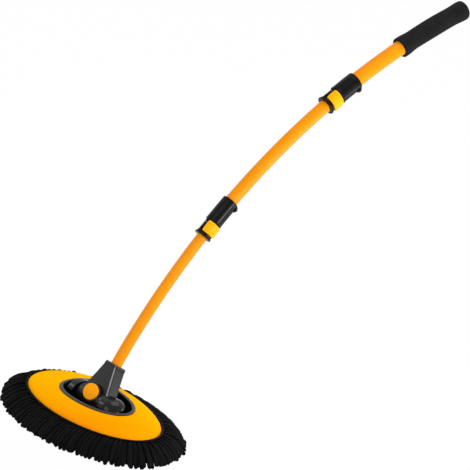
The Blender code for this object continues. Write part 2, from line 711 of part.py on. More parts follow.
def button_spring():
    """Flat coil spring on the floor of the button's pocket."""
    count = round(SPRING_TURNS * SPRING_TURN_POINTS)
    centre = Vector((0.0, POCKET_FLOOR + SEAT_GAP + SPRING_WIRE, BUTTON_HEIGHT_ON_NECK))
    curve = bpy.data.curves.new("button_spring", "CURVE")
    curve.dimensions = "3D"
    curve.bevel_depth = SPRING_WIRE
    curve.bevel_resolution = 1
    curve.use_fill_caps = True
    spline = curve.splines.new("POLY")
    spline.points.add(count)
    for i, point in enumerate(spline.points):
        turn = math.tau * i / SPRING_TURN_POINTS
        climb = SPRING_PITCH * i / SPRING_TURN_POINTS
        place = centre + Vector((SPRING_RADIUS * math.cos(turn), climb, SPRING_RADIUS * math.sin(turn)))
        point.co = (*(on_neck(place) - PIVOTS["lower_pole"]), 1.0)
    curve.materials.append(material("steel"))
    obj = bpy.data.objects.new("button_spring", curve)
    bpy.context.scene.collection.objects.link(obj)
    obj.parent = bpy.data.objects["lower_pole_pivot"]


def tube_rings(radius, places):
    return [circle(radius, s, TUBE_SIDES) for s in places]


def pole_tube(name, radius, start, end, pivot):
    """Thin-walled tube along the arc."""
    places = stations(start, end, TUBE_STEP)
    rings = tube_rings(radius, places) + tube_rings(radius - TUBE_WALL, reversed(places))
    add_piece(name, loft(rings, ring_path=True), on_pole, "tube_orange", pivot)


def pole_guide(name, radius, outer_radius, end, pivot):
    """Plug in the inner end of a tube, whose head runs in the next tube."""
    stem = radius - TUBE_WALL - SEAT_GAP
    head = outer_radius - TUBE_WALL - RUN_GAP
    seat = end + SEAT_GAP
    profile = [(stem, seat - GUIDE_STEM), (stem, seat), (head, seat), (head, seat + GUIDE_HEAD)]
    add_piece(name, turned(profile, TUBE_SIDES), on_pole, "nylon_white", pivot)


def sector(radius_in, radius_out, first, last, steps):
    """Outline of part of a ring in the first two coordinates."""
    turns = [first + (last - first) * i / steps for i in range(steps + 1)]
    outside = [(radius_out * math.cos(t), radius_out * math.sin(t)) for t in turns]
    inside = [(radius_in * math.cos(t), radius_in * math.sin(t)) for t in reversed(turns)]
    return outside + inside


def extruded(outline, start, end, step=LOCK_STEP):
    return loft([[Vector((x, n, s)) for x, n in outline] for s in stations(start, end, step)])


def lock_sizes(inner_radius, outer_radius):
    """Radii that the pieces of one lock share."""
    shoe_out = inner_radius + SEAT_GAP + SHOE_THICKNESS
    lever_in = shoe_out + SEAT_GAP
    return {
        "run": inner_radius + RUN_GAP,
        "grip": outer_radius + SEAT_GAP,
        "sleeve": outer_radius + LOCK_WALL,
        "shoe_in": inner_radius + SEAT_GAP,
        "shoe_out": shoe_out,
        "lever_in": lever_in,
        "lever_out": lever_in + LEVER_THICKNESS,
        "pin_at": lever_in + LEVER_THICKNESS / 2,
    }


def polar(radius, turn):
    return (radius * math.cos(turn), radius * math.sin(turn))


def on_lock(start):
    """Straight frame about the middle of a lock's window: a pin drawn in it is straight, though the pole is curved."""
    middle = start + FLANGE_LENGTH + WINDOW_LENGTH / 2
    centre = on_pole(Vector((0.0, 0.0, middle)))
    outward = (centre - ARC_CENTRE).normalized()
    along = pole_direction(middle)
    return lambda point: centre + ALONG_X * point.x + outward * point.y + along * (point.z - middle)


def lock_body(prefix, sizes, start, sleeve_length, pivot):
    """Sleeve on the thicker tube, window for the lever, and end flange round the thinner tube."""
    window = start + FLANGE_LENGTH
    shoulder = window + WINDOW_LENGTH
    end = shoulder + sleeve_length
    sleeve = sizes["sleeve"]
    lip = sleeve + FLANGE_LIP
    waist = sleeve - WAIST_DEPTH
    profile = [(lip - EDGE_ROUND, start), (lip, start + EDGE_ROUND), (lip, window - EDGE_ROUND)]
    profile += [(waist, s) for s in stations(window - EDGE_ROUND / 2, shoulder + EDGE_ROUND / 2, LOCK_STEP)]
    profile += [(sleeve, s) for s in stations(shoulder + EDGE_ROUND, end - SLEEVE_CHAMFER, LOCK_STEP)]
    profile.append((sleeve - SLEEVE_CHAMFER, end))
    body = add_piece(prefix + "_lock_body", turned(profile, LOCK_SIDES), on_pole, "lock_black", pivot)
    pin = polar(sizes["pin_at"], LEVER_PIN_ANGLE)
    ear = LOCK_PIN_RADIUS + PIN_GAP + EAR_WALL
    ears = [(start + EDGE_ROUND, window + EDGE_ROUND), (shoulder - EDGE_ROUND, shoulder + EAR_LENGTH)]
    for number, (low, high) in enumerate(ears, 1):
        shape = turned([(ear, low), (ear, high)], SMALL_SIDES, pin)
        helper(f"{prefix}_ear_{number}", shape, on_lock(start), body, "UNION", pivot)
    boss = lock_boss(sizes, end, 0.0, LOCK_BOSS_RADIUS, sleeve + LOCK_BOSS_HEIGHT)
    helper(prefix + "_boss", boss, on_pole, body, "UNION", pivot)
    seat = shoulder + SHOULDER
    bore = [(sizes["run"], start - OVERRUN)]
    bore += [(sizes["run"], s) for s in stations(start, seat, LOCK_STEP)[1:]]
    bore += [(sizes["grip"], s) for s in stations(seat, end, LOCK_STEP)]
    bore.append((sizes["grip"], end + OVERRUN))
    helper(prefix + "_bore", turned(bore, TUBE_SIDES), on_pole, body, "DIFFERENCE", pivot)
    side_room = LEVER_SIDE_ROOM / sizes["pin_at"]
    eye_room = (LEVER_THICKNESS / 2 + LEVER_SIDE_ROOM) / sizes["pin_at"]
    first = LEVER_TIP_ANGLE - side_room
    last = LEVER_PIN_ANGLE + eye_room
    outline = sector(sizes["run"] / 2, sleeve + LEVER_THICKNESS + OVERRUN, first, last, LEVER_ARC_STEPS)
    helper(prefix + "_window", extruded(outline, window, shoulder), on_pole, body, "DIFFERENCE", pivot)
    radius = LOCK_PIN_RADIUS + PIN_GAP
    depth = shoulder + LOCK_PIN_BITE + SEAT_GAP
    hole = turned([(radius, start - OVERRUN), (radius, depth)], SMALL_SIDES, pin)
    helper(prefix + "_pin_hole", hole, on_lock(start), body, "DIFFERENCE", pivot)
    hole = lock_boss(sizes, end, outer_skin(sizes), LOCK_SCREW_RADIUS + SEAT_GAP, sleeve + OVERRUN)
    helper(prefix + "_screw_hole", hole, on_pole, body, "DIFFERENCE", pivot)


def outer_skin(sizes):
    """Outer surface of the thicker tube."""
    return sizes["grip"] - SEAT_GAP


def lock_boss(sizes, end, inside, radius, outside):
    """Round shape that points out of the sleeve at the screw's place."""
    inside = inside or sizes["grip"] + SEAT_GAP
    bm = turned([(radius, inside), (radius, outside)], SMALL_SIDES)
    return lock_radial(bm, end)


def lock_radial(bm, end):
    """Lays a shape drawn along its third coordinate out along the screw's direction."""
    for vert in bm.verts:
        side, along, out = vert.co
        x = out * math.cos(LOCK_SCREW_ANGLE) - side * math.sin(LOCK_SCREW_ANGLE)
        n = out * math.sin(LOCK_SCREW_ANGLE) + side * math.cos(LOCK_SCREW_ANGLE)
        vert.co = Vector((x, n, end - LOCK_SCREW_INSET + along))
    return bm


def lock_screw(prefix, sizes, end, pivot):
    """Screw that fixes the sleeve to the thicker tube."""
    seat = sizes["sleeve"] + LOCK_BOSS_HEIGHT + SEAT_GAP
    top = seat + LOCK_SCREW_HEAD_HEIGHT
    profile = [
        (LOCK_SCREW_RADIUS, outer_skin(sizes) + SEAT_GAP),
        (LOCK_SCREW_RADIUS, seat),
        (LOCK_SCREW_HEAD, seat),
        (LOCK_SCREW_HEAD, top - EDGE_ROUND),
        (LOCK_SCREW_HEAD - EDGE_ROUND, top),
    ]
    add_piece(prefix + "_lock_screw", lock_radial(turned(profile, SMALL_SIDES), end), on_pole, "lock_black", pivot)


def lever_outline(sizes):
    """C-shaped lever: thumb lip at the tip, and a round end about the pin."""
    half = LEVER_THICKNESS / 2
    turns = [
        LEVER_TIP_ANGLE + (LEVER_PIN_ANGLE - LEVER_TIP_ANGLE) * i / LEVER_ARC_STEPS
        for i in range(LEVER_ARC_STEPS + 1)
    ]
    outline = []
    for turn in turns:
        lifted = max(0.0, 1 - (turn - LEVER_TIP_ANGLE) / LEVER_LIP_ANGLE)
        outline.append(polar(sizes["lever_out"] + LEVER_LIP * lifted, turn))
    centre = polar(sizes["pin_at"], LEVER_PIN_ANGLE)
    for i in range(1, LEVER_END_STEPS):
        turn = LEVER_PIN_ANGLE + math.pi * i / LEVER_END_STEPS
        outline.append((centre[0] + half * math.cos(turn), centre[1] + half * math.sin(turn)))
    outline += [polar(sizes["lever_in"], turn) for turn in reversed(turns)]
    return outline


def lock_lever(prefix, sizes, start, pivot):
    """Yellow flip lever in the window of the lock."""
    low = start + FLANGE_LENGTH + RUN_GAP
    high = start + FLANGE_LENGTH + WINDOW_LENGTH - RUN_GAP
    lever = add_piece(prefix + "_lock_lever", extruded(lever_outline(sizes), low, high), on_pole, "lever_yellow", pivot)
    radius = LOCK_PIN_RADIUS + PIN_GAP
    pin = polar(sizes["pin_at"], LEVER_PIN_ANGLE)
    hole = turned([(radius, low - OVERRUN), (radius, high + OVERRUN)], SMALL_SIDES, pin)
    helper(prefix + "_lever_bore", hole, on_lock(start), lever, "DIFFERENCE", pivot)


def lock_pin(prefix, sizes, start, pivot):
    end = start + FLANGE_LENGTH + WINDOW_LENGTH + LOCK_PIN_BITE
    pin = turned([(LOCK_PIN_RADIUS, start), (LOCK_PIN_RADIUS, end)], SMALL_SIDES, polar(sizes["pin_at"], LEVER_PIN_ANGLE))
    add_piece(prefix + "_lock_pin", pin, on_lock(start), "steel", pivot)


def lock_shoe(prefix, sizes, start, pivot):
    """Curved brake shoe that the lever presses on the thinner tube."""
    low = start + FLANGE_LENGTH + SEAT_GAP
    high = start + FLANGE_LENGTH + WINDOW_LENGTH - SEAT_GAP
    last = LEVER_PIN_ANGLE - LEVER_THICKNESS / sizes["pin_at"]
    outline = sector(sizes["shoe_in"], sizes["shoe_out"], LEVER_TIP_ANGLE, last, LEVER_ARC_STEPS)
    add_piece(prefix + "_lock_shoe", extruded(outline, low, high), on_pole, "plate_black", pivot)


def flip_lock(prefix, inner_radius, outer_radius, start, sleeve_length, pivot):
    """One complete lock: it sits on the thicker tube and clamps the thinner one."""
    sizes = lock_sizes(inner_radius, outer_radius)
    end = start + FLANGE_LENGTH + WINDOW_LENGTH + sleeve_length
    lock_body(prefix, sizes, start, sleeve_length, pivot)
    lock_screw(prefix, sizes, end, pivot)
    lock_pin(prefix, sizes, start, pivot)
    lock_shoe(prefix, sizes, start, pivot)
    lock_lever(prefix, sizes, start, prefix + "_lever")


def lever_pivot(inner_radius, outer_radius, start):
    """Middle of the lever's pin in the world."""
    x, n = polar(lock_sizes(inner_radius, outer_radius)["pin_at"], LEVER_PIN_ANGLE)
    return on_pole(Vector((x, n, start + FLANGE_LENGTH + WINDOW_LENGTH / 2)))


def foam_grip():
    """Foam sleeve with a flared mouth and a round closed end."""
    bore = UPPER_RADIUS + SEAT_GAP
    outside = bore + GRIP_WALL
    floor = GRIP_END - GRIP_END_THICKNESS
    mouth = GRIP_START + GRIP_LIP_LENGTH
    profile = [(bore, s) for s in reversed(stations(GRIP_START, floor, TUBE_STEP))]
    profile += [(outside + GRIP_LIP - EDGE_ROUND, GRIP_START), (outside + GRIP_LIP, GRIP_START + EDGE_ROUND)]
    profile += [(outside, s) for s in stations(mouth, GRIP_END - GRIP_END_ROUND, TUBE_STEP)]
    for angle in (30.0, 60.0, 85.0):
        turn = math.radians(angle)
        radius = outside - GRIP_END_ROUND * (1 - math.cos(turn))
        profile.append((radius, GRIP_END - GRIP_END_ROUND * (1 - math.sin(turn))))
    add_piece("foam_grip", turned(profile, GRIP_SIDES), on_pole, "foam_black", "upper_pole")


def grip_plug():
    """Plug that closes the end of the upper tube under the foam."""
    stem = UPPER_RADIUS - TUBE_WALL - SEAT_GAP
    seat = UPPER_TUBE_END + SEAT_GAP
    profile = [(stem, seat - PLUG_STEM), (stem, seat), (UPPER_RADIUS, seat), (UPPER_RADIUS, seat + PLUG_FLANGE)]
    add_piece("grip_plug", turned(profile, TUBE_SIDES), on_pole, "plate_black", "upper_pole")


def build():
    clear_scene()
    PIVOTS["lower_lever"] = lever_pivot(LOWER_RADIUS, MIDDLE_RADIUS, LOWER_LOCK_START)
    PIVOTS["upper_lever"] = lever_pivot(MIDDLE_RADIUS, UPPER_RADIUS, UPPER_LOCK_START)
    add_pivots()
    chenille_pad()
    chenille_fringe()
    cover_hem()
    foam_core()
    head_plate()
    plate_screws()
    head_shell()
    hinge_base()
    hinge_pin()
    neck_housing()
    neck_screw()
    hinge_bushes()
    tilt_button()
    button_spring()
    lower_end = LOWER_LOCK_START + LOCK_SEAT + LOWER_INSERTED
    middle_end = UPPER_LOCK_START + LOCK_SEAT + MIDDLE_INSERTED
    pole_tube("lower_tube", LOWER_RADIUS, SEAT_GAP - SOCKET_DEPTH, lower_end, "lower_pole")
    pole_guide("lower_guide", LOWER_RADIUS, MIDDLE_RADIUS, lower_end, "lower_pole")
    pole_tube("middle_tube", MIDDLE_RADIUS, LOWER_LOCK_START + LOCK_SEAT, middle_end, "middle_pole")
    pole_guide("middle_guide", MIDDLE_RADIUS, UPPER_RADIUS, middle_end, "middle_pole")
    pole_tube("upper_tube", UPPER_RADIUS, UPPER_LOCK_START + LOCK_SEAT, UPPER_TUBE_END, "upper_pole")
    flip_lock("lower", LOWER_RADIUS, MIDDLE_RADIUS, LOWER_LOCK_START, LOWER_SLEEVE_LENGTH, "middle_pole")
    flip_lock("upper", MIDDLE_RADIUS, UPPER_RADIUS, UPPER_LOCK_START, UPPER_SLEEVE_LENGTH, "upper_pole")
    foam_grip()
    grip_plug()


build()
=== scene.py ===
"""Looks of the car wash brush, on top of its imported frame: stage, camera, lights and every visible surface.

All lengths are in metres in the frame's own axes: X along the head, the pole rising towards +Y, Z up.
"""

import math

import bmesh
import bpy
import numpy as np
from bpy.props import FloatProperty, FloatVectorProperty, IntProperty, PointerProperty
from mathutils import Matrix


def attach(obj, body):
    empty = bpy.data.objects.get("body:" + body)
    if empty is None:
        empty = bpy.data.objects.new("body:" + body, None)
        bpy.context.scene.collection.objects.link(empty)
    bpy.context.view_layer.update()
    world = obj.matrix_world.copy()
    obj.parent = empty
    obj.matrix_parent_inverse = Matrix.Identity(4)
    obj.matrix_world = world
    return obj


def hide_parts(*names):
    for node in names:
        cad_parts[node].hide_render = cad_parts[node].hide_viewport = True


bl_info = {
    "name": "Car Wash Brush",
    "version": (1, 0, 0),
    "blender": (4, 5, 0),
    "location": "3D View > Sidebar > Wash Brush",
    "description": "Builds the visible surfaces of a telescopic car wash brush on its frame",
    "category": "Add Mesh",
}

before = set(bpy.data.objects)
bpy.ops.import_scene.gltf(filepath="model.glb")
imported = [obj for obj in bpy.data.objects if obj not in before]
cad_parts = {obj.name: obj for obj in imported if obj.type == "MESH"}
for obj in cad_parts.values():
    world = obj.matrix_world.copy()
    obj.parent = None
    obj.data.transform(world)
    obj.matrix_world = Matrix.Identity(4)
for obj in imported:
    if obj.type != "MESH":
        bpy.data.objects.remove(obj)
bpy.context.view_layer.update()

MM = 0.001
TURN = 2 * math.pi

# Points closer than the weld become one, and a profile that closes on its axis ends at this radius
WELD = 1e-6
ON_AXIS = 1e-7

# Fits, as in the part's source
SEAT_GAP = 0.3 * MM
RUN_GAP = 0.35 * MM

# Head, from the floor up
BACKING_BOTTOM = 15.2 * MM
BACKING_TOP = 17 * MM
FOAM_BOTTOM = 17.3 * MM
FOAM_TOP = 21.7 * MM
SKIN_BOTTOM = 17.3 * MM
SKIN_TOP = 30.5 * MM
SKIN_THICKNESS = 2 * MM
HEM_MIDDLE = 32.3 * MM
SHELL_BOTTOM = 24.8 * MM
SHELL_EDGE = 31 * MM
SHELL_WALL = 2.5 * MM
DOME_POWER = 2.2
DOME_FALL_POWER = 0.75
OPENING_POWER = 2.4
SHELL_SIDES = 192
TUB_SIDES = 160
TUB_TOP = 27.3 * MM
TUB_WALL = 1.6 * MM
TUB_DRAFT = 5 * MM
RIM_HEIGHT = 1.6 * MM
RIM_WIDTH = 4.0 * MM
# Height on the rim's outside under which it keeps the tub's black, a painted contact shadow against the shell
RIM_EDGE = 48.5 * MM
RIM_INSIDE_SHARE = 0.6
RIM_TOP_SHARE = 0.25
TUB_STEP = 2.5 * MM

# Foot of the shell in (inset from its edge, height): down the outside, round the foot and up the inside
SHELL_FOOT = MM * np.array(
    [[0, 30], [0, 28], [0, 26], [0, 25.2], [0.5, 24.8], [2, 24.8], [2.5, 25.2], [2.5, 27], [2.5, 29]]
)

# Share of painted shade on the shell, a deeper orange: its base, and how it changes to the back, the right,
# the left and down
PAINTED_SHADE_BASE, PAINTED_SHADE_BACK, PAINTED_SHADE_RIGHT, PAINTED_SHADE_LEFT, PAINTED_SHADE_DOWN = 0.15, -0.5, 0.85, 0.47, 0.2

# Hinge and neck
HINGE_CLEARANCE = 15.6 * MM
HINGE = np.array([0.0, 0.0, 42.9 * MM])
TOWER_RADIUS = 14.3 * MM
TOWER_HALF_WIDTH = 20.5 * MM
TOWER_STRAIGHT = 10 * MM
TOWER_NOSES = {-1: 9 * MM, 1: 22 * MM}
TOWER_GAP = 0.5 * MM
TOWER_ROOT = 1.2 * MM
TOWER_EDGE = (0.2 * MM, 0.7 * MM)
TOWER_EDGE_SHARES = (0.02, 0.955, 0.985)
DRUM_RADIUS = 12.6 * MM
DRUM_STEP = 0.6 * MM
DRUM_CORNER = 0.9 * MM
DRUM_SIDES = 132
LEAN = math.radians(30)
NECK_LENGTH = 55 * MM
NECK_TOP_HALF_WIDTH = 11.2 * MM
NECK_ROOT_HALF_WIDTH = 28.3 * MM
NECK_ROOT = 4 * MM
NECK_FRONT = 7 * MM
NECK_BACK = -15 * MM
NECK_OFFSET = 4 * MM
NECK_WAIST = 0.9 * MM
NECK_BAND = 50.2 * MM
CHAMFER = 1.5 * MM
SEAM_WIDTH = 1.9 * MM
SEAM_DEPTH = 0.9 * MM
SEAM_SLOPE = 0.2 * MM
NECK_RADII = np.array([2.6, 0.15, 0.1, 0.1, 0.15, 0.5, 0.55]) * MM
BUTTON_HEIGHT = 6 * MM
BUTTON_RADIUS = 12.9 * MM
BUTTON_FOOT = 10.2 * MM
BUTTON_RIM = 12.3 * MM
BUTTON_FACE = 15 * MM
BUTTON_CROWN = 0.6 * MM
BUTTON_EDGE = 2.3 * MM
BUTTON_WALL = 2 * MM
BUTTON_STRETCH = 1.17
BUTTON_SQUEEZE = 0.93
COLLAR_WALL = 2.1 * MM
COLLAR_FRONT = 13 * MM
POCKET_FLOOR = 5 * MM

# Raised band at the neck's mouth in (height, offset), and the tube's socket in it in (radius, height)
NECK_MOUTH = np.array([[50.5, 0.1], [50.8, 0.3], [52.5, 0.3], [54.3, 0.3], [54.8, 0.15], [55.0, -0.15]]) * MM
NECK_SOCKET = np.array([[8.7, 55.0], [8.4, 54.6], [8.4, 49.0], [0.001, 49.0]]) * MM

# Pole and locks
ARC_RADIUS = 1067 * MM
ARC_CENTRE = np.array([0.0, 955.0132 * MM, -444.9686 * MM])
TUBE_WALL = 0.8 * MM
LOWER_RADIUS = 8 * MM
MIDDLE_RADIUS = 9.5 * MM
UPPER_RADIUS = 11 * MM
LOWER_TUBE = (-34.7 * MM, 304.7 * MM)
MIDDLE_TUBE = (244.7 * MM, 569.5 * MM)
UPPER_TUBE = (509.5 * MM, 752.0 * MM)
POLE_STEP = 12 * MM
LOWER_LOCK_START = 218 * MM
UPPER_LOCK_START = 482.8 * MM
LOWER_SLEEVE = 40 * MM
UPPER_SLEEVE = 36 * MM
LOCK_WALL = 3 * MM
WAIST_DEPTH = 1.5 * MM
FLANGE_LENGTH = 3.6 * MM
FLANGE_LIP = 0.8 * MM
FLANGE_FLAT = 1.9 * MM
FLANGE_SLOPE = 0.9 * MM
FLANGE_DROP = 1.2 * MM
BEAD_RISE = 0.35 * MM
BEAD_LENGTH = 1.6 * MM
BEAD_SLOPE = 0.6 * MM
COLLAR_LENGTH = 5.2 * MM
EAR_REACH = 5 * MM
EAR_ROOT = 6 * MM
EAR_ROOM = 0.6 * MM
TONGUE_HALF_WIDTH = 4.2 * MM
LEVER_SETBACK = 1.4 * MM
WINDOW_LENGTH = 21.2 * MM
SHOE_STACK = 1.9 * MM
SHOULDER = 1.6 * MM
LEVER_THICKNESS = 3.2 * MM
LEVER_LIP = 1.53 * MM
LEVER_LIP_POWER = 1.6
LEVER_LIP_ANGLE = math.radians(20)
LEVER_CORNER = 3.4 * MM
LEVER_TIP = 1.4 * MM
LEVER_SHOULDER = 2.6 * MM
LEVER_EAR_GAP = 0.7 * MM
LEVER_CROWN = 0.25 * MM
LEVER_SIDE_POWER = 0.28
LEVER_FACE_POWER = 0.48
KNUCKLE_SHARE = 0.35
PIN_ANGLE = math.radians(94)
TIP_ANGLE = math.radians(-56)
BOSS_ANGLE = math.radians(-42)
BOSS_INSET = 5.4 * MM
BOSS_RADIUS = 4.5 * MM
BOSS_HEIGHT = 1.5 * MM
BOSS_FOOT = 2.2 * MM
EAR_RADIUS = 2.2 * MM
GRIP_START = 632.6 * MM
GRIP_END = 759.6 * MM
GRIP_FLOOR = 754.6 * MM

# Foam grip: how far its cuff, swell and flare stand out, and where they lie, the last two from its end
GRIP_CUFF, GRIP_SWELL, GRIP_FLARE = 1.5 * MM, 0.6 * MM, 1 * MM
CUFF_LENGTH, CUFF_FOOT, SWELL_PLACE = 9 * MM, 21 * MM, 62 * MM
WAIST_PLACE, FLARE_PLACE = 24 * MM, 11 * MM

# Small screw of a lock: shank, head, the head's top and its recess, as radii, and heights over the seat
SCREW_SHANK, SCREW_HEAD, SCREW_TOP = 1.5 * MM, 2.7 * MM, 2.2 * MM
RECESS_TOP, RECESS_FLOOR = 1.3 * MM, 1.1 * MM
SCREW_SIDE_HEIGHT, SCREW_TOP_HEIGHT, RECESS_HEIGHT = 0.6 * MM, 1 * MM, 0.4 * MM

# Rows of fingers round the head: fewer fingers than the longest row has, root height, reach, tip height, lift
# in the bend, and phase along the row
FRINGE_ROWS = (
    (0, 29.6 * MM, 33.0 * MM, 10.0 * MM, 1.0 * MM, 0.0),
    (2, 26.0 * MM, 33.5 * MM, 7.5 * MM, 0.8 * MM, 0.5),
    (1, 22.5 * MM, 31.5 * MM, 5.5 * MM, 0.4 * MM, 0.25),
    (6, 20.0 * MM, 27.0 * MM, 4.2 * MM, 0.2 * MM, 0.7),
    (14, 19.2 * MM, 18.0 * MM, 4.0 * MM, 0.0, 0.4),
    (20, 18.0 * MM, 9.5 * MM, 2.6 * MM, 0.0, 0.15),
)
FRINGE_AROUND = 640 * MM
FRINGE_TIP = 3.4 * MM
FRINGE_ROOT = 1.6 * MM
FRINGE_SEED = 7
SOLE_EDGE = 3.4 * MM
SOLE_ROOT = 1.6 * MM
SOLE_LEAN = 0.05
SOLE_SEED = 11

# Cover's wall and its elastic hem
SKIN_OFFSET = 1.5 * MM
SKIN_SWELL = 0.5 * MM
SKIN_WAVE = 0.12 * MM
SKIN_WAVES = 75
SKIN_KNIT = 1.1 * MM
HEM_OFFSET = 1.9 * MM
HEM_WIDE = 1.5 * MM
HEM_HIGH = 1.15 * MM
HEM_GATHER = 0.3 * MM

# Camera, from the fit to the photograph's outlines
CAMERA_AZIMUTH = math.radians(48.45)
CAMERA_ELEVATION = math.radians(19.547)
CAMERA_ROLL = math.radians(-7.648)
CAMERA_DISTANCE = 4650 * MM
CAMERA_ACROSS = 201.497 * MM
CAMERA_UP = 268.468 * MM
FLOOR_DROP = 80 * MM
PIXELS = 470
PIXELS_PER_METRE = 712
SENSOR = 36

# Light: the world's level, the floor's white where it is seen, and the point that most softboxes face
AMBIENT = 0.62
FLOOR_WHITE = 0.98
FLOOR_REACH = 4.0
BRUSH_MIDDLE = (0.0, 0.2, 0.25)

# Colours that only part of a piece has, painted shade on the shell and neck and a painted highlight on the
# neck among them, and those of the hidden hardware
SHELL_PAINTED_SHADE = (0.95, 0.3, 0.001)
NECK_PAINTED_HIGHLIGHT = (0.2, 0.2, 0.21)
NECK_PAINTED_SHADE = (0.0012, 0.0012, 0.0013)
PLATE_BLACK = (0.02, 0.02, 0.021)
NYLON_CREAM = (0.62, 0.61, 0.56)
HEM_BLACK = (0.0035, 0.0035, 0.004)
CORE_GREY = (0.03, 0.03, 0.031)
STEEL_BRIGHT, STEEL_DULL = (0.55, 0.55, 0.56), (0.38, 0.38, 0.4)


def length_property(name, description, default):
    """Length setting, stored in metres."""
    return FloatProperty(name=name, description=description, default=default, unit="LENGTH")


class BrushSizes(bpy.types.PropertyGroup):
    """Sizes that a user of the brush would change."""

    shell_half_length: length_property("Shell half length", "Half the length of the yellow shell", 128 * MM)
    shell_half_width: length_property("Shell half width", "Half the width of the yellow shell", 68 * MM)
    shell_dome: length_property("Shell rise", "Height of the shell's crown over its edge", 16.3 * MM)
    opening_half_length: length_property("Opening half length", "Half the length of the opening", 73 * MM)
    opening_left: length_property("Opening left", "Reach of the opening's boxy left half", 56 * MM)
    opening_half_width: length_property("Opening half width", "Half the width of the opening", 36.6 * MM)
    strand_width: length_property("Strand width", "Thickness of one chenille finger", 6.5 * MM)
    strand_count: IntProperty(
        name="Strands in a row", description="Fingers in the longest row round the head", default=108, min=20
    )
    sole_pitch: length_property("Sole pitch", "Spacing of the fingers under the head", 9 * MM)
    gather_count: IntProperty(name="Gathers", description="Gathers in the elastic hem", default=150, min=10)
    grip_wall: length_property("Grip wall", "Thickness of the foam on the handle", 2.6 * MM)


def colour_property(name, description, default):
    """Colour setting of one finish, stored as linear red, green and blue."""
    return FloatVectorProperty(
        name=name, description=description, default=default, subtype="COLOR", min=0, max=1
    )


class BrushColours(bpy.types.PropertyGroup):
    """Colours that a user of the brush would change."""

    shell: colour_property("Shell", "Moulded shell of the head", (0.95, 0.45, 0.001))
    lever: colour_property("Levers", "Flip levers of the locks", (0.96, 0.4, 0.002))
    button: colour_property("Button", "Tilt button on the neck", (0.98, 0.37, 0.002))
    tube: colour_property("Tubes", "Painted telescopic tubes", (0.8, 0.262, 0.001))
    neck: colour_property("Neck", "Satin plastic of the neck", (0.009, 0.009, 0.0095))
    tub: colour_property("Tub", "Glossy plastic of the tub, the towers and the locks", (0.003, 0.003, 0.0035))
    bezel: colour_property("Bezel", "Rim round the tub", (0.036, 0.034, 0.04))
    chenille: colour_property("Chenille", "Fingers of the wash cover", (0.0042, 0.0042, 0.0047))
    grip: colour_property("Grip", "Foam of the handle", (0.0075, 0.0075, 0.008))
    floor: colour_property("Floor", "Studio floor", (0.95, 0.95, 0.95))


# Surfaces


def grid_faces(rows, columns, around, closed):
    """Quads of a grid: each joins a point, the next column, the next row of that column, and the next row.

    The last column joins the first where around is true, and the last row the first where closed is true.
    """
    i = np.arange(rows if closed else rows - 1)[:, None]
    j = np.arange(columns if around else columns - 1)[None, :]
    down, right = (i + 1) % rows, (j + 1) % columns
    here, below = i * columns, down * columns
    corners = np.stack(np.broadcast_arrays(here + j, here + right, below + right, below + j))
    flat = np.stack(np.broadcast_arrays(j + 0 * i, i + 0 * j), -1).reshape(-1, 1, 2)
    steps = np.array([[0, 0], [1, 0], [1, 1], [0, 1]])
    uv = (flat + steps) / [columns if around else columns - 1, rows if closed else rows - 1]
    return corners.reshape(4, -1).T, uv.reshape(-1, 2)


class Surface:
    """Grids of points that together make one piece, each with its finish and values for its material."""

    def __init__(self):
        self.points, self.faces, self.uvs, self.finishes, self.values = [], [], [], [], {}
        self.count = 0

    def add(self, grid, around=True, closed=False, finish=0, **values):
        rows, columns = grid.shape[:2]
        faces, uv = grid_faces(rows, columns, around, closed)
        self.points.append(grid.reshape(-1, 3))
        self.faces.append(faces + self.count)
        self.uvs.append(uv)
        self.finishes.append(np.full(len(faces), finish))
        for name, value in values.items():
            part = np.broadcast_to(value, (rows, columns)).reshape(-1)
            self.values.setdefault(name, []).append(part)
        self.count += rows * columns
        return self

    def make(self, name, finishes, body, slot, replaced=(), angle=35.0):
        """The finished object: doubles merged, faces outwards, smooth up to an angle, riding on its body."""
        mesh = bpy.data.meshes.new(name)
        mesh.from_pydata(np.concatenate(self.points), [], np.concatenate(self.faces))
        mesh.uv_layers.new(name="UVMap").uv.foreach_set("vector", np.concatenate(self.uvs).ravel())
        mesh.polygons.foreach_set("material_index", np.concatenate(self.finishes))
        for key, parts in self.values.items():
            mesh.attributes.new(key, "FLOAT", "POINT").data.foreach_set("value", np.concatenate(parts))
        for finish in finishes:
            mesh.materials.append(finish)
        bm = bmesh.new()
        bm.from_mesh(mesh)
        bmesh.ops.remove_doubles(bm, verts=bm.verts, dist=WELD)
        bmesh.ops.recalc_face_normals(bm, faces=bm.faces)
        bm.to_mesh(mesh)
        bm.free()
        mesh.shade_smooth()
        mesh.set_sharp_from_angle(angle=math.radians(angle))
        made = bpy.data.objects.new(name, mesh)
        bpy.context.scene.collection.objects.link(made)
        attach(made, body)
        if replaced:
            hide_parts(*replaced)
        return made


def rounded(corners, radius, steps=4, closed=True):
    """Path through corners, each replaced by a quadratic curve that starts and ends a radius from it.

    The radius, one number or one a corner, is cut to just under half of the shorter edge.
    """
    corners = np.asarray(corners, float)
    size = np.broadcast_to(np.asarray(radius, float), len(corners)).copy()
    if not closed:
        size[[0, -1]] = 0
    back, ahead = np.roll(corners, 1, 0) - corners, np.roll(corners, -1, 0) - corners
    back_length = np.maximum(np.linalg.norm(back, axis=1), 1e-9)
    ahead_length = np.maximum(np.linalg.norm(ahead, axis=1), 1e-9)
    size = np.minimum(size, 0.49 * np.minimum(back_length, ahead_length))
    first = corners + back / back_length[:, None] * size[:, None]
    last = corners + ahead / ahead_length[:, None] * size[:, None]
    t = np.linspace(0, 1, steps + 1)[None, :, None]
    curve = (1 - t) ** 2 * first[:, None] + 2 * t * (1 - t) * corners[:, None] + t**2 * last[:, None]
    return curve.reshape(-1, corners.shape[1])


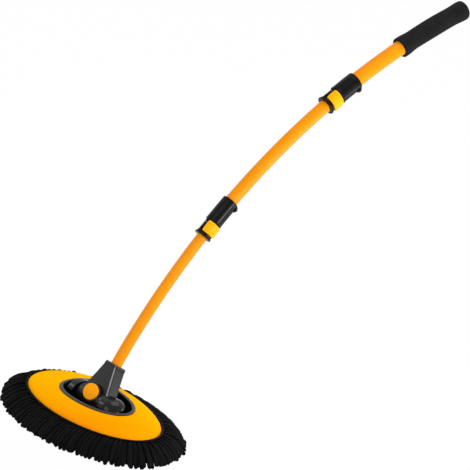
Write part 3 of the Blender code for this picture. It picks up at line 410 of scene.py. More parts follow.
def spread(path, step, closed=False):
    """The path with points added along every stretch that is longer than a step."""
    path = np.asarray(path, float)
    following = np.roll(path, -1, 0)
    counts = np.maximum(1, np.ceil(np.linalg.norm(following - path, axis=1) / step).astype(int))
    if not closed:
        counts[-1] = 1
    owner = np.repeat(np.arange(len(path)), counts)
    share = (np.arange(len(owner)) - np.repeat(np.cumsum(counts) - counts, counts)) / counts[owner]
    return path[owner] + (following - path)[owner] * share[:, None]


def turns(count):
    """Angles evenly round a turn."""
    return np.arange(count) * TURN / count


def turned(profile, count, centre=(0.0, 0.0)):
    """Turned shape: each (radius, height) of the profile makes a circle round the third axis."""
    profile = np.asarray(profile, float)
    angle = turns(count)[None, :]
    radius, height = profile[:, :1], profile[:, 1:]
    x = centre[0] + radius * np.cos(angle)
    y = centre[1] + radius * np.sin(angle)
    return np.stack(np.broadcast_arrays(x, y, height), -1)


def ovals(half_length, half_width, height, count):
    """Rings: an oval of each half length and half width, at each height."""
    angle = turns(count)[None, :]
    x = np.asarray(half_length)[:, None] * np.cos(angle)
    y = np.asarray(half_width)[:, None] * np.sin(angle)
    return np.stack(np.broadcast_arrays(x, y, np.asarray(height)[:, None]), -1)


def on_pole(points):
    """World places of (x, n, s): s along the pole's arc, n outwards from it and x across."""
    turn = LEAN + points[..., 2] / ARC_RADIUS
    reach = ARC_RADIUS + points[..., 1]
    return ARC_CENTRE + np.stack([points[..., 0], -reach * np.cos(turn), reach * np.sin(turn)], -1)


def on_neck(points):
    """World places of (x, n, t): t up the straight neck from the hinge, n out of its front."""
    x, n, t = points[..., 0], points[..., 1], points[..., 2]
    y = -n * math.cos(LEAN) + t * math.sin(LEAN)
    z = n * math.sin(LEAN) + t * math.cos(LEAN)
    return HINGE + np.stack([x, y, z], -1)


def unit(vectors):
    """The vectors, each divided by its length."""
    return vectors / np.maximum(np.linalg.norm(vectors, axis=-1, keepdims=True), 1e-12)


# Finishes


def finish(name, colour, roughness, **constants):
    """New material whose constant values stand on its shader's own sockets."""
    made = bpy.data.materials.new(name)
    made.use_nodes = True
    made.diffuse_color = (*colour, 1)
    shader = made.node_tree.nodes["Principled BSDF"]
    shader.inputs["Base Color"].default_value = (*colour, 1)
    shader.inputs["Roughness"].default_value = roughness
    for socket, value in constants.items():
        shader.inputs[socket.replace("_", " ")].default_value = value
    return made


def node(made, kind, **values):
    """New node in a material, with its settings and the values or links of its inputs.

    An input goes by its name, with _ for a space, or by i and its number.
    """
    tree = made.node_tree
    new = tree.nodes.new(kind)
    for key, value in values.items():
        if hasattr(new, key):
            setattr(new, key, value)
            continue
        numbered = key[0] == "i" and key[1:].isdigit()
        socket = new.inputs[int(key[1:]) if numbered else key.replace("_", " ")]
        if isinstance(value, bpy.types.NodeSocket):
            tree.links.new(value, socket)
        else:
            socket.default_value = value
    return new


def noise(made, size, detail=3.0, stretch=(1, 1, 1)):
    """Noise in the piece's own coordinates, with features of about one size in metres."""
    place = node(made, "ShaderNodeTexCoord").outputs["Object"]
    placed = node(made, "ShaderNodeMapping", Vector=place, Scale=tuple(s / size for s in stretch))
    return node(
        made, "ShaderNodeTexNoise", Vector=placed.outputs[0], Scale=1.0, Detail=detail, Roughness=0.5
    ).outputs[0]


def shader_of(made):
    """The shader that a material's nodes end in."""
    return made.node_tree.nodes["Principled BSDF"]


def mottle(made, other, amount, low=0.35, high=0.65):
    """Mixes the base colour with another one, where a noise or value is high."""
    socket = shader_of(made).inputs["Base Color"]
    share = node(made, "ShaderNodeMapRange", Value=amount, i1=low, i2=high).outputs[0]
    mix = node(made, "ShaderNodeMix", data_type="RGBA")
    tree = made.node_tree
    tree.links.new(share, mix.inputs[0])
    if socket.is_linked:
        tree.links.new(socket.links[0].from_socket, mix.inputs[6])
    else:
        mix.inputs[6].default_value = socket.default_value
    mix.inputs[7].default_value = (*other, 1)
    tree.links.new(mix.outputs[2], socket)


def polish(made, amount, rough_low, rough_high, low=0.3, high=0.7):
    """Roughness that wanders between two values with a noise."""
    share = node(made, "ShaderNodeMapRange", Value=amount, i1=low, i2=high, i3=rough_low, i4=rough_high)
    made.node_tree.links.new(share.outputs[0], shader_of(made).inputs["Roughness"])


def emboss(made, height, depth, strength=1.0):
    """Adds a bump of one depth in metres to those the material has."""
    socket = shader_of(made).inputs["Normal"]
    bump = node(made, "ShaderNodeBump", Height=height, Distance=depth, Strength=strength)
    if socket.is_linked:
        made.node_tree.links.new(socket.links[0].from_socket, bump.inputs["Normal"])
    made.node_tree.links.new(bump.outputs[0], socket)


def value_of(made, name):
    """Values that a piece's mesh carries under one name."""
    return node(made, "ShaderNodeAttribute", attribute_name=name).outputs["Fac"]


def scaled(colour, factor):
    """The colour times a factor."""
    return tuple(min(1.0, c * factor) for c in colour)


def moulded_plastic(name, colour, roughness, grain, depth, flow=0.05, gloss=0.12):
    """Injection-moulded plastic: grain of one size and depth, flow marks in its colour, a wandering gloss."""
    made = finish(name, colour, roughness, Specular_IOR_Level=gloss)
    flow_marks = noise(made, 38 * MM, 2.0, (1.0, 1.6, 1.0))
    mottle(made, scaled(colour, 1 - flow), flow_marks)
    polish(made, noise(made, 11 * MM, 4.0), roughness * 0.85, roughness * 1.2)
    emboss(made, noise(made, grain, 2.0), depth)
    return made


def painted_metal(name, colour):
    """Paint on drawn tube: a faint orange-peel skin, slow shifts in the colour and a clear gloss."""
    made = finish(name, colour, 0.3, Specular_IOR_Level=0.09)
    mottle(made, scaled(colour, 0.95), noise(made, 40 * MM, 2.0))
    mottle(made, scaled(colour, 0.97), noise(made, 12 * MM, 1.0), 0.5, 0.8)
    polish(made, noise(made, 30 * MM, 2.0), 0.26, 0.34)
    emboss(made, noise(made, 12 * MM, 1.0), 0.004 * MM)
    return made


def chenille_cloth(name, colour):
    """Microfibre chenille: short pile, painted shade that darkens the fingers towards their roots, in the
    lower rows and on the sole's backing, each finger a little different.
    """
    made = finish(name, colour, 0.95, Sheen_Weight=0.02, Sheen_Roughness=0.5, Specular_IOR_Level=0.03)
    mottle(made, scaled(colour, 2.6), noise(made, 1.6 * MM, 4.0), 0.45, 0.8)
    # Painted shade from the depth value: darker towards the roots, the lower rows and the backing
    mottle(made, scaled(colour, 0.3), value_of(made, "depth"), 0.1, 1.0)
    mottle(made, scaled(colour, 0.5), value_of(made, "tone"), 0.3, 1.2)
    polish(made, noise(made, 6 * MM, 2.0), 0.86, 0.98)
    emboss(made, noise(made, 0.55 * MM, 3.0), 0.3 * MM)
    emboss(made, noise(made, 2.1 * MM, 3.0), 0.7 * MM, 0.8)
    return made


def ribbed_cloth(name, colour):
    """Knitted elastic: ribs across the band, along the piece's own UV map, with a painted highlight on their
    raised crests, and a soft pile.
    """
    made = finish(name, colour, 0.9, Sheen_Weight=0.03, Sheen_Roughness=0.4, Specular_IOR_Level=0.06)
    flat = node(made, "ShaderNodeTexCoord").outputs["UV"]
    ribs = node(made, "ShaderNodeTexWave", Vector=flat, Scale=90.0, Distortion=1.2, Detail=2.0).outputs[1]
    # Painted highlight: lighter where the ribs stand highest
    mottle(made, scaled(colour, 1.8), ribs, 0.5, 1.0)
    polish(made, noise(made, 5 * MM, 3.0), 0.82, 0.96)
    emboss(made, ribs, 0.15 * MM)
    emboss(made, noise(made, 0.6 * MM, 3.0), 0.2 * MM)
    return made


def cell_foam(name, colour, cell):
    """Closed-cell foam: a skin of small cells with open pits, painted darker as shade where the bump sinks,
    matt and a little dusty.
    """
    made = finish(name, colour, 0.88, Specular_IOR_Level=0.1, Sheen_Weight=0.02, Sheen_Roughness=0.5)
    place = node(made, "ShaderNodeTexCoord").outputs["Object"]
    cells = node(made, "ShaderNodeTexVoronoi", Vector=place, Scale=1 / cell).outputs["Distance"]
    mottle(made, scaled(colour, 1.5), noise(made, 14 * MM, 4.0), 0.4, 0.75)
    # Painted shade: darker where the cells' bump is lowest
    mottle(made, scaled(colour, 0.5), cells, 0.45, 0.8)
    polish(made, noise(made, 8 * MM, 2.0), 0.8, 0.95)
    emboss(made, cells, -0.1 * MM)
    emboss(made, noise(made, 3 * MM, 3.0), 0.12 * MM)
    return made


def bare_steel(name):
    """Bare steel: fine streaks that are drawn out across the height, and a wandering gloss."""
    made = finish(name, STEEL_BRIGHT, 0.3, Metallic=1.0)
    mottle(made, STEEL_DULL, noise(made, 2.5 * MM, 4.0))
    polish(made, noise(made, 1.2 * MM, 3.0, (1, 1, 6)), 0.22, 0.42)
    emboss(made, noise(made, 0.5 * MM, 2.0, (1, 1, 8)), 0.01 * MM)
    return made


FINISHES = {}


def finishes(context):
    """The brush's materials, made once from the colour settings."""
    if FINISHES:
        return FINISHES
    colours = context.scene.brush_colours
    shell, neck, lock = tuple(colours.shell), tuple(colours.neck), scaled(colours.tub, 0.35)
    names = ("lever", "button", "tub", "bezel")
    lever, button, tub, bezel = (tuple(getattr(colours, name)) for name in names)
    FINISHES.update(
        shell=moulded_plastic(
            "shell_gloss", shell, 0.3, grain=5 * MM, depth=0.003 * MM, flow=0.02, gloss=0.0
        ),
        neck=moulded_plastic(
            "neck_satin", neck, 0.34, grain=1.2 * MM, depth=0.02 * MM, flow=0.15, gloss=0.26
        ),
        lever=moulded_plastic("lever_gloss", lever, 0.32, grain=4 * MM, depth=0.006 * MM, gloss=0.06),
        button=moulded_plastic("button_gloss", button, 0.36, grain=4 * MM, depth=0.006 * MM, gloss=0.06),
        tube=painted_metal("tube_paint", tuple(colours.tube)),
        tub=moulded_plastic("tub_gloss", tub, 0.12, grain=4 * MM, depth=0.005 * MM, flow=0.3, gloss=0.2),
        bezel=moulded_plastic(
            "bezel_satin", bezel, 0.35, grain=1.2 * MM, depth=0.015 * MM, flow=0.15, gloss=0.15
        ),
        sleeve=moulded_plastic("lock_gloss", lock, 0.26, grain=3 * MM, depth=0.004 * MM, flow=0.3),
        plate=moulded_plastic("plate_matt", PLATE_BLACK, 0.55, grain=0.8 * MM, depth=0.04 * MM, flow=0.2),
        nylon=moulded_plastic(
            "nylon_natural", NYLON_CREAM, 0.45, grain=0.8 * MM, depth=0.02 * MM, flow=0.08, gloss=0.3
        ),
        chenille=chenille_cloth("chenille_pile", tuple(colours.chenille)),
        hem=ribbed_cloth("elastic_knit", HEM_BLACK),
        foam=cell_foam("core_foam", CORE_GREY, cell=1.2 * MM),
        grip=cell_foam("grip_foam", tuple(colours.grip), cell=0.8 * MM),
        steel=bare_steel("turned_steel"),
    )
    # Painted shade: the shell turns a deeper orange where its low value is high
    mottle(FINISHES["shell"], SHELL_PAINTED_SHADE, value_of(FINISHES["shell"], "low"), 0.0, 1.0)
    # Painted highlight: a lighter grey along the neck's front chamfers
    mottle(FINISHES["neck"], NECK_PAINTED_HIGHLIGHT, value_of(FINISHES["neck"], "edge"), 0.2, 1.0)
    # Painted shade: near-black in the neck's seams, and half of it on the band at the mouth
    mottle(FINISHES["neck"], NECK_PAINTED_SHADE, value_of(FINISHES["neck"], "seam"), 0.0, 1.0)
    return FINISHES


# Stage


def camera_axes():
    """Right, up and back of the camera, from its azimuth round Z, its elevation and its roll."""
    ca, sa = math.cos(CAMERA_AZIMUTH), math.sin(CAMERA_AZIMUTH)
    ce, se = math.cos(CAMERA_ELEVATION), math.sin(CAMERA_ELEVATION)
    right = np.array([ca, sa, 0.0])
    up = np.array([-sa * se, ca * se, ce])
    back = np.array([sa * ce, -ca * ce, se])
    cr, sr = math.cos(CAMERA_ROLL), math.sin(CAMERA_ROLL)
    return cr * right - sr * up, sr * right + cr * up, back


def place_camera(scene):
    """Camera at the fitted distance and shift, with the lens that gives the fitted pixels per metre."""
    right, up, back = camera_axes()
    eye = CAMERA_ACROSS * right + CAMERA_UP * up + CAMERA_DISTANCE * back
    data = bpy.data.cameras.new("photo_camera")
    data.sensor_width = SENSOR
    data.lens = PIXELS_PER_METRE * CAMERA_DISTANCE * SENSOR / PIXELS
    data.clip_end = 50
    camera = bpy.data.objects.new("photo_camera", data)
    camera.matrix_world = Matrix([[right[i], up[i], back[i], eye[i]] for i in range(3)] + [[0, 0, 0, 1]])
    scene.collection.objects.link(camera)
    scene.camera = camera


def softbox(name, direction, distance, size, level, target):
    """Area lamp that gives a white matt surface facing it this level, and points at the target."""
    data = bpy.data.lights.new(name, "AREA")
    data.shape = "RECTANGLE"
    data.size, data.size_y = size
    data.energy = level * math.pi**2 * distance**2
    lamp = bpy.data.objects.new(name, data)
    back = unit(np.asarray(direction, float))
    right = unit(np.cross([0, 0, 1.0], back))
    up = np.cross(back, right)
    place = np.asarray(target) + back * distance
    lamp.matrix_world = Matrix([[right[i], up[i], back[i], place[i]] for i in range(3)] + [[0, 0, 0, 1]])
    bpy.context.scene.collection.objects.link(lamp)
    return lamp


def seen_directly(made, share=1.0):
    """The share for a camera, glossy or transmission ray, and 0 for the rays that light the object."""
    path = node(made, "ShaderNodeLightPath")
    seen = path.outputs["Is Camera Ray"]
    for kind in ("Glossy", "Transmission"):
        ray = path.outputs[f"Is {kind} Ray"]
        seen = node(made, "ShaderNodeMath", operation="MAXIMUM", i0=seen, i1=ray).outputs[0]
    return node(made, "ShaderNodeMath", operation="MULTIPLY", i0=seen, i1=share).outputs[0]


def white_world(scene, ambient):
    """World that is white where it is seen, and a plain soft level where it lights the object."""
    world = bpy.data.worlds.new("studio_white")
    scene.world = world
    world.use_nodes = True
    shade = world.node_tree.nodes["Background"]
    shade.inputs["Color"].default_value = (1, 1, 1, 1)
    level = node(world, "ShaderNodeMapRange", Value=seen_directly(world), i3=ambient, i4=1.0)
    world.node_tree.links.new(level.outputs[0], shade.inputs["Strength"])


def studio_floor(colour):
    """Pale floor, low enough for the tilted head: matt, with most of its white shown directly."""
    mesh = bpy.data.meshes.new("studio_floor")
    square = ((-1, -1), (1, -1), (1, 1), (-1, 1))
    corners = [(x * FLOOR_REACH, y * FLOOR_REACH, -FLOOR_DROP) for x, y in square]
    mesh.from_pydata(corners, [], [(0, 1, 2, 3)])
    made = finish("floor_matt", colour, 0.9, Specular_IOR_Level=0.0)
    mottle(made, scaled(colour, 0.985), noise(made, 0.5, 2.0))
    glow = node(made, "ShaderNodeEmission", Color=(1, 1, 1, 1), Strength=1.0)
    seen = seen_directly(made, FLOOR_WHITE)
    mix = node(made, "ShaderNodeMixShader", i0=seen, i1=shader_of(made).outputs[0], i2=glow.outputs[0])
    made.node_tree.links.new(mix.outputs[0], made.node_tree.nodes["Material Output"].inputs["Surface"])
    mesh.materials.append(made)
    floor = bpy.data.objects.new("studio_floor", mesh)
    bpy.context.scene.collection.objects.link(floor)


class BuildStage(bpy.types.Operator):
    """Set up the floor, the white backdrop, the softboxes and the camera"""

    bl_idname = "wash_brush.stage"
    bl_label = "Stage and Camera"

    def execute(self, context):
        scene = context.scene
        scene.view_settings.view_transform = "Standard"
        place_camera(scene)
        white_world(scene, AMBIENT)
        studio_floor(tuple(scene.brush_colours.floor))
        right, up, back = camera_axes()
        above, beside = 0.75 * right + 1.3 * up + 0.1 * back, -0.5 * right + 0.5 * up + 1.0 * back
        rows = (
            ("key_softbox", above, 2.2, (1.6, 1.6), 0.42, BRUSH_MIDDLE),
            ("front_softbox", beside, 2.4, (1.6, 1.6), 0.3, BRUSH_MIDDLE),
            ("right_softbox", (0.95, 0.27, 0.08), 1.4, (0.5, 0.5), 0.58, BRUSH_MIDDLE),
            ("edge_softbox", (0.62, 0.74, -0.28), 0.56, (0.26, 0.3), 0.4, (0.0, 0.27, 0.36)),
            ("left_softbox", (-0.85, -0.45, 0.5), 1.3, (0.3, 0.5), 0.1, (0.0, 0.12, 0.2)),
        )
        for name, direction, distance, size, level, target in rows:
            softbox(name, direction, distance, size, level, target)
        return {"FINISHED"}


# Head


def dome(sizes, share):
    """Shell height: the edge, plus the rise times a power of 1 less a power of the share towards the edge."""
    return SHELL_EDGE + sizes.shell_dome * np.maximum(0, 1 - share**DOME_POWER) ** DOME_FALL_POWER


def signed_power(values, power):
    """Each value's size raised to a power, with its sign kept."""
    return np.sign(values) * np.abs(values) ** power


def opening_rings(sizes, offset, count):
    """Plan of the opening, grown by each offset: an ellipse on the right, and a superellipse on the left."""
    angle = turns(count)[None, :]
    offset = np.asarray(offset, float)[:, None]
    left = np.cos(angle) < 0
    power = np.where(left, 2 / OPENING_POWER, 1.0)
    length = np.where(left, sizes.opening_left, sizes.opening_half_length) + offset
    x = length * signed_power(np.cos(angle), power)
    y = (sizes.opening_half_width + offset) * signed_power(np.sin(angle), power)
    return np.stack([x, y], -1)


def at_heights(plans, heights):
    """Rings of points from their plans, each at its height."""
    heights = np.broadcast_to(np.asarray(heights, float)[:, None, None], plans.shape[:2] + (1,))
    return np.concatenate([plans, heights], -1)


def shell_rings(sizes, share, inset, lowered, count):
    """Rings that go evenly from the opening's plan to the oval edge, at the dome's height."""
    opening = opening_rings(sizes, -inset, count)
    edge = ovals(sizes.shell_half_length - inset, sizes.shell_half_width - inset, share, count)[..., :2]
    return at_heights(opening + (edge - opening) * share[:, None, None], dome(sizes, share) - lowered)


def shell_painted_shade(sizes, grid, down):
    """Share of painted shade, a deeper orange: a base and shares of the place along and across the head and
    down the side.
    """
    along, over = grid[:, :, 0] / sizes.shell_half_length, grid[:, :, 1] / sizes.shell_half_width
    beside = np.where(along > 0, PAINTED_SHADE_RIGHT, PAINTED_SHADE_LEFT) * along
    return np.clip(PAINTED_SHADE_BASE + PAINTED_SHADE_BACK * over + beside + PAINTED_SHADE_DOWN * down, 0, 1)


class BuildShell(bpy.types.Operator):
    """Build the domed yellow shell of the head"""

    bl_idname = "wash_brush.shell"
    bl_label = "Shell"

    def execute(self, context):
        sizes, look = context.scene.brush_sizes, finishes(context)
        outer_share = 1 - (1 - np.linspace(0, 1, 44)) ** 1.8
        inner_share = np.linspace(0.97, 0.0, 16)
        outer = shell_rings(sizes, outer_share, 0 * outer_share, 0.0, SHELL_SIDES)
        inset, height = SHELL_FOOT.T
        foot = ovals(sizes.shell_half_length - inset, sizes.shell_half_width - inset, height, SHELL_SIDES)
        inner = shell_rings(sizes, inner_share, SHELL_WALL * inner_share, SHELL_WALL, SHELL_SIDES)
        grid = np.concatenate([outer, foot, inner])
        # The low value is painted shade, a deeper orange that grows to the front, the right and down the side
        down = np.concatenate([outer_share**2, np.ones(len(foot)), inner_share])[:, None]
        surface = Surface().add(grid, closed=True, low=shell_painted_shade(sizes, grid, down))
        surface.make("shell_dome", [look["shell"]], "head", "shell_plastic", ["head_shell"])
        return {"FINISHED"}


def tub_path(sizes):
    """Tub in (offset from the opening's wall, height): floor, wall, sloped rim, outer wall and underside."""
    lip = SHELL_EDGE + sizes.shell_dome + SEAT_GAP
    rim = lip + RIM_HEIGHT
    inset = TUB_DRAFT + TUB_WALL
    corners = [(-inset, TUB_TOP), (-TUB_WALL, lip), (-TUB_WALL * RIM_INSIDE_SHARE, rim)]
    corners += [(RIM_WIDTH * RIM_TOP_SHARE, rim), (RIM_WIDTH, RIM_EDGE), (RIM_WIDTH, lip)]
    corners += [(0, lip), (-TUB_DRAFT, SHELL_BOTTOM)]
    radii = np.array([0, 0.5, 0.5, 0.6, 0.3, 0.1, 0.2, 0]) * MM
    return spread(rounded(corners, radii, 5, closed=False), TUB_STEP)


def tower_grid(side):
    """Hinge tower along X: a half ellipse on straight sides, with a small edge at its inner end.

    It keeps its size over its straight stretch, then shrinks over its nose as a quarter of an ellipse.
    """
    start = NECK_ROOT_HALF_WIDTH + TOWER_GAP
    edge, straight_start = TOWER_EDGE
    straight = np.linspace(straight_start, TOWER_STRAIGHT, 12)
    angle = np.linspace(0, math.pi / 2, 16)[1:]
    nose = TOWER_STRAIGHT + TOWER_NOSES[side] * np.sin(angle)
    x = start + np.concatenate([[0, 0, edge], straight, nose])
    share = np.concatenate([TOWER_EDGE_SHARES, np.ones(len(straight)), np.cos(angle)])[:, None]
    over = np.linspace(0, math.pi, 33)[None, :]
    y = np.concatenate([share, share * np.cos(over), -share], 1) * TOWER_HALF_WIDTH
    centre = TUB_TOP + HINGE_CLEARANCE * share
    root = TUB_TOP - TOWER_ROOT + 0 * share
    z = np.concatenate([root, centre + TOWER_RADIUS * share * np.sin(over), root], 1)
    return np.stack(np.broadcast_arrays(side * x[:, None], y, z), -1)


class BuildHinge(bpy.types.Operator):
    """Build the tub in the shell's opening, its rim and the two hinge towers"""

    bl_idname = "wash_brush.hinge"
    bl_label = "Tub and Hinge Towers"

    def execute(self, context):
        sizes, look = context.scene.brush_sizes, finishes(context)
        path = tub_path(sizes)
        rings = at_heights(opening_rings(sizes, path[:, 0] - SEAT_GAP, TUB_SIDES), path[:, 1])
        shrink = np.linspace(WELD, 1, 9)[:-1]
        floor = rings[:1] * shrink[:, None, None]
        floor[..., 2] = TUB_TOP
        bottom = ovals([ON_AXIS], [ON_AXIS], [SHELL_BOTTOM], TUB_SIDES)
        # The rim is grey only above its edge height; its foot stays black as a painted contact shadow line
        first, last = np.flatnonzero(path[:, 1] > RIM_EDGE - 0.1 * MM)[[0, -1]]
        surface = Surface()
        surface.add(np.concatenate([floor, rings[: first + 1]]))
        surface.add(rings[first : last + 1], finish=1)
        surface.add(np.concatenate([rings[last:], bottom]))
        for side in TOWER_NOSES:
            surface.add(tower_grid(side))
        surface.make("hinge_tub", [look["tub"], look["bezel"]], "head", "base_plastic", ["hinge_base"])
        return {"FINISHED"}


# Neck and button


def neck_outline(half_width, offset):
    """Section of the neck in (x, n): a box with chamfered front edges, a seam behind each, round corners."""
    wide, front, back = half_width + offset, NECK_FRONT + offset, NECK_BACK - offset
    edge = front - CHAMFER
    seam, floor = edge - SEAM_WIDTH, wide - SEAM_DEPTH
    half = [(wide, back), (wide, seam), (floor, seam + SEAM_SLOPE), (floor, edge - 2 * SEAM_SLOPE)]
    half += [(wide, edge - SEAM_SLOPE), (wide, edge), (wide - CHAMFER, front)]
    corners = half + [(-x, n) for x, n in half[::-1]]
    return rounded(corners, np.concatenate([NECK_RADII, NECK_RADII[::-1]]), 4)


def neck_half_width(t):
    """Half width up the neck: a straight taper drawn in a little, by a half sine, between its ends."""
    share = np.clip((NECK_LENGTH - t) / (NECK_LENGTH - NECK_ROOT), 0, 1)
    straight = NECK_TOP_HALF_WIDTH + (NECK_ROOT_HALF_WIDTH - NECK_TOP_HALF_WIDTH) * share
    return straight - NECK_WAIST * np.sin(math.pi * share)


def neck_grid():
    """Neck from root to mouth, with a raised band at the mouth and the tube's socket inside."""
    body = np.linspace(NECK_ROOT, NECK_BAND, 26)
    t = np.concatenate([body, NECK_MOUTH[:, 0]])
    offset = np.concatenate([0 * body, NECK_MOUTH[:, 1]])
    outline = np.stack([neck_outline(neck_half_width(up), out) for up, out in zip(t, offset)])
    centre = np.array([0.0, -NECK_OFFSET])
    around = unit(outline[-1] - centre)
    socket = at_heights(centre + around[None] * NECK_SOCKET[:, None, :1], NECK_SOCKET[:, 1])
    root = at_heights(0 * outline[:1], [NECK_ROOT])
    return np.concatenate([root, at_heights(outline, t), socket])


def chamfer_highlight(grid):
    """Painted highlight: 1 on the chamfer between the front and a side of the neck, where a lighter grey is
    painted, and 0 elsewhere.
    """
    reach = np.abs(grid[:, :, 0])
    beside = reach > reach.max(1, keepdims=True) - CHAMFER
    return (beside & (grid[:, :, 1] > NECK_FRONT - CHAMFER - 0.1 * MM)).astype(float)


def seam_and_band_shade(grid):
    """Painted shade: 1 on the floor of the seams, 0.5 on the band at the mouth, and 0 elsewhere, where a
    near-black is painted.
    """
    reach, depth = np.abs(grid[:, :, 0]), grid[:, :, 1]
    floor = reach.max(1, keepdims=True) - reach - SEAM_DEPTH
    edge = NECK_FRONT - CHAMFER
    inside = (np.abs(floor) < 0.2 * MM) & (depth < edge - SEAM_SLOPE) & (depth > edge - SEAM_WIDTH)
    return np.where(inside, 1.0, np.where(grid[:, :, 2] > NECK_BAND, 0.5, 0.0))


def to_front(points):
    """Turns a shape drawn along its third coordinate to point out of the neck's front."""
    return points[..., [0, 2, 1]]


def across(points):
    """Turns a shape drawn along its third coordinate to lie along X."""
    return points[..., [2, 0, 1]]


def drum_grid():
    """Hinge drum along X, with its front lowered inside the button's collar for the button to sink in."""
    width = NECK_ROOT_HALF_WIDTH
    corners = [(ON_AXIS, -width), (DRUM_RADIUS, -width), (DRUM_RADIUS, width), (ON_AXIS, width)]
    path = rounded(corners, DRUM_CORNER, 4, closed=False)
    grid = across(turned(spread(path, DRUM_STEP), DRUM_SIDES))
    x, depth, t = grid[..., 0], grid[..., 1], grid[..., 2]
    reach = np.hypot(x / BUTTON_STRETCH, t / BUTTON_SQUEEZE - BUTTON_HEIGHT)
    floor = NECK_FRONT - 0.1 * MM
    sunk = (reach < BUTTON_RADIUS + RUN_GAP + COLLAR_WALL / 2) & (depth > floor)
    grid[..., 1] = np.where(sunk, floor, depth)
    return grid


def button_oval(profile):
    """Profile in (radius, height) turned round the button's middle, out of the neck, as a slight oval."""
    oval = to_front(turned(profile, 96, (0.0, BUTTON_HEIGHT))) * [BUTTON_STRETCH, 1, BUTTON_SQUEEZE]
    return on_neck(oval)


class BuildNeck(bpy.types.Operator):
    """Build the flared neck with its hinge drum, collar and socket"""

    bl_idname = "wash_brush.neck"
    bl_label = "Neck"

    def execute(self, context):
        look = finishes(context)
        shape = neck_grid()
        surface = Surface().add(on_neck(shape), edge=chamfer_highlight(shape), seam=seam_and_band_shade(shape))
        surface.add(on_neck(drum_grid()), edge=0.0, seam=0.0)
        inside = BUTTON_RADIUS + RUN_GAP
        outside = inside + COLLAR_WALL
        corners = [(ON_AXIS, POCKET_FLOOR), (inside, POCKET_FLOOR), (inside, COLLAR_FRONT)]
        corners += [(outside, COLLAR_FRONT), (outside, 0), (ON_AXIS, 0)]
        radii = np.array([0, 0.3, 0.45, 0.8, 0.3, 0]) * MM
        collar = button_oval(rounded(corners, radii, 4, closed=False))
        surface.add(collar, finish=1, edge=0.0, seam=0.0)
        kinds = [look["neck"], look["tub"]]
        surface.make("neck_flared", kinds, "lower_pole", "neck_plastic", ["neck_housing"], angle=32)
        return {"FINISHED"}


class BuildButton(bpy.types.Operator):
    """Build the slightly oval tilt button with a softly rounded edge and a faint crown"""

    bl_idname = "wash_brush.button"
    bl_label = "Tilt Button"

    def execute(self, context):
        look = finishes(context)
        share = np.linspace(1, 0, 12)[2:]
        face = BUTTON_FACE - BUTTON_CROWN * share**2
        inner = BUTTON_RADIUS - BUTTON_WALL
        corners = [(inner, BUTTON_RIM), (inner, BUTTON_FOOT), (BUTTON_RADIUS, BUTTON_FOOT)]
        corners += [(BUTTON_RADIUS, BUTTON_FACE - BUTTON_CROWN), (BUTTON_RADIUS * share[0], face[0])]
        radii = np.array([0, 0.3 * MM, 0.3 * MM, BUTTON_EDGE, 0])
        edge = rounded(corners, radii, 8, closed=False)
        top = np.stack([BUTTON_RADIUS * share + ON_AXIS, face], -1)[1:]
        path = np.concatenate([[(ON_AXIS, BUTTON_RIM)], edge, top])
        surface = Surface().add(button_oval(path))
        surface.make("button_cap", [look["button"]], "button", "button_plastic", ["tilt_button"])
        return {"FINISHED"}


# Pole


def pole_ring_path(profile):
    """Closed (radius, station) profile with points close enough to follow the arc."""
    return spread(profile, POLE_STEP, closed=True)


def tube(name, radius, ends, body, look, replaced):
    """Thin-walled tube along the arc, with its ends rounded over."""
    inner = radius - TUBE_WALL
    corners = [(radius, ends[0]), (radius, ends[1]), (inner, ends[1]), (inner, ends[0])]
    path = pole_ring_path(rounded(corners, 0.3 * MM, 3))
    surface = Surface().add(on_pole(turned(path, 64)), closed=True)
    return surface.make(name, [look["tube"]], body, "tube_paint", [replaced])


class BuildTubes(bpy.types.Operator):
    """Build the three telescopic tubes"""

    bl_idname = "wash_brush.tubes"
    bl_label = "Tubes"

    def execute(self, context):
        look = finishes(context)
        tube("tube_lower", LOWER_RADIUS, LOWER_TUBE, "lower_pole", look, "lower_tube")
        tube("tube_middle", MIDDLE_RADIUS, MIDDLE_TUBE, "middle_pole", look, "middle_tube")
        tube("tube_upper", UPPER_RADIUS, UPPER_TUBE, "upper_pole", look, "upper_tube")
        return {"FINISHED"}


def polar(radius, turn):
    """Flat places from a radius and an angle."""
    return np.stack(np.broadcast_arrays(radius * np.cos(turn), radius * np.sin(turn)), -1)


def lock_back(run, waist, window, shoulder, first, last):
    """Wall behind the lever: part of a ring whose edges beside the lever are rounded."""
    corners = [(run, window), (waist, window), (waist, shoulder), (run, shoulder)]
    section = spread(rounded(corners, 0.3 * MM, 3), 7 * MM, closed=True)
    turn = np.linspace(first, last, 40)
    thinning = np.ones(len(turn))
    thinning[[0, -1]], thinning[[1, -2]] = 0.9, 0.97
    middle = (run + waist) / 2
    radius = middle + (section[None, :, 0] - middle) * thinning[:, None]
    flat = polar(radius, turn[:, None])
    grid = np.concatenate([flat, np.broadcast_to(section[None, :, 1:], flat.shape[:2] + (1,))], -1)
    centre = np.broadcast_to(grid.mean(1, keepdims=True), grid.shape)
    return np.concatenate([centre[:1], grid, centre[-1:]])


def radial(points, station):
    """Lays a shape drawn along its third coordinate out of the pole, at the screw's angle and a station."""
    side, along, out = points[..., 0], points[..., 1], points[..., 2]
    x = out * math.cos(BOSS_ANGLE) - side * math.sin(BOSS_ANGLE)
    n = out * math.sin(BOSS_ANGLE) + side * math.cos(BOSS_ANGLE)
    return on_pole(np.stack([x, n, along + station], -1))


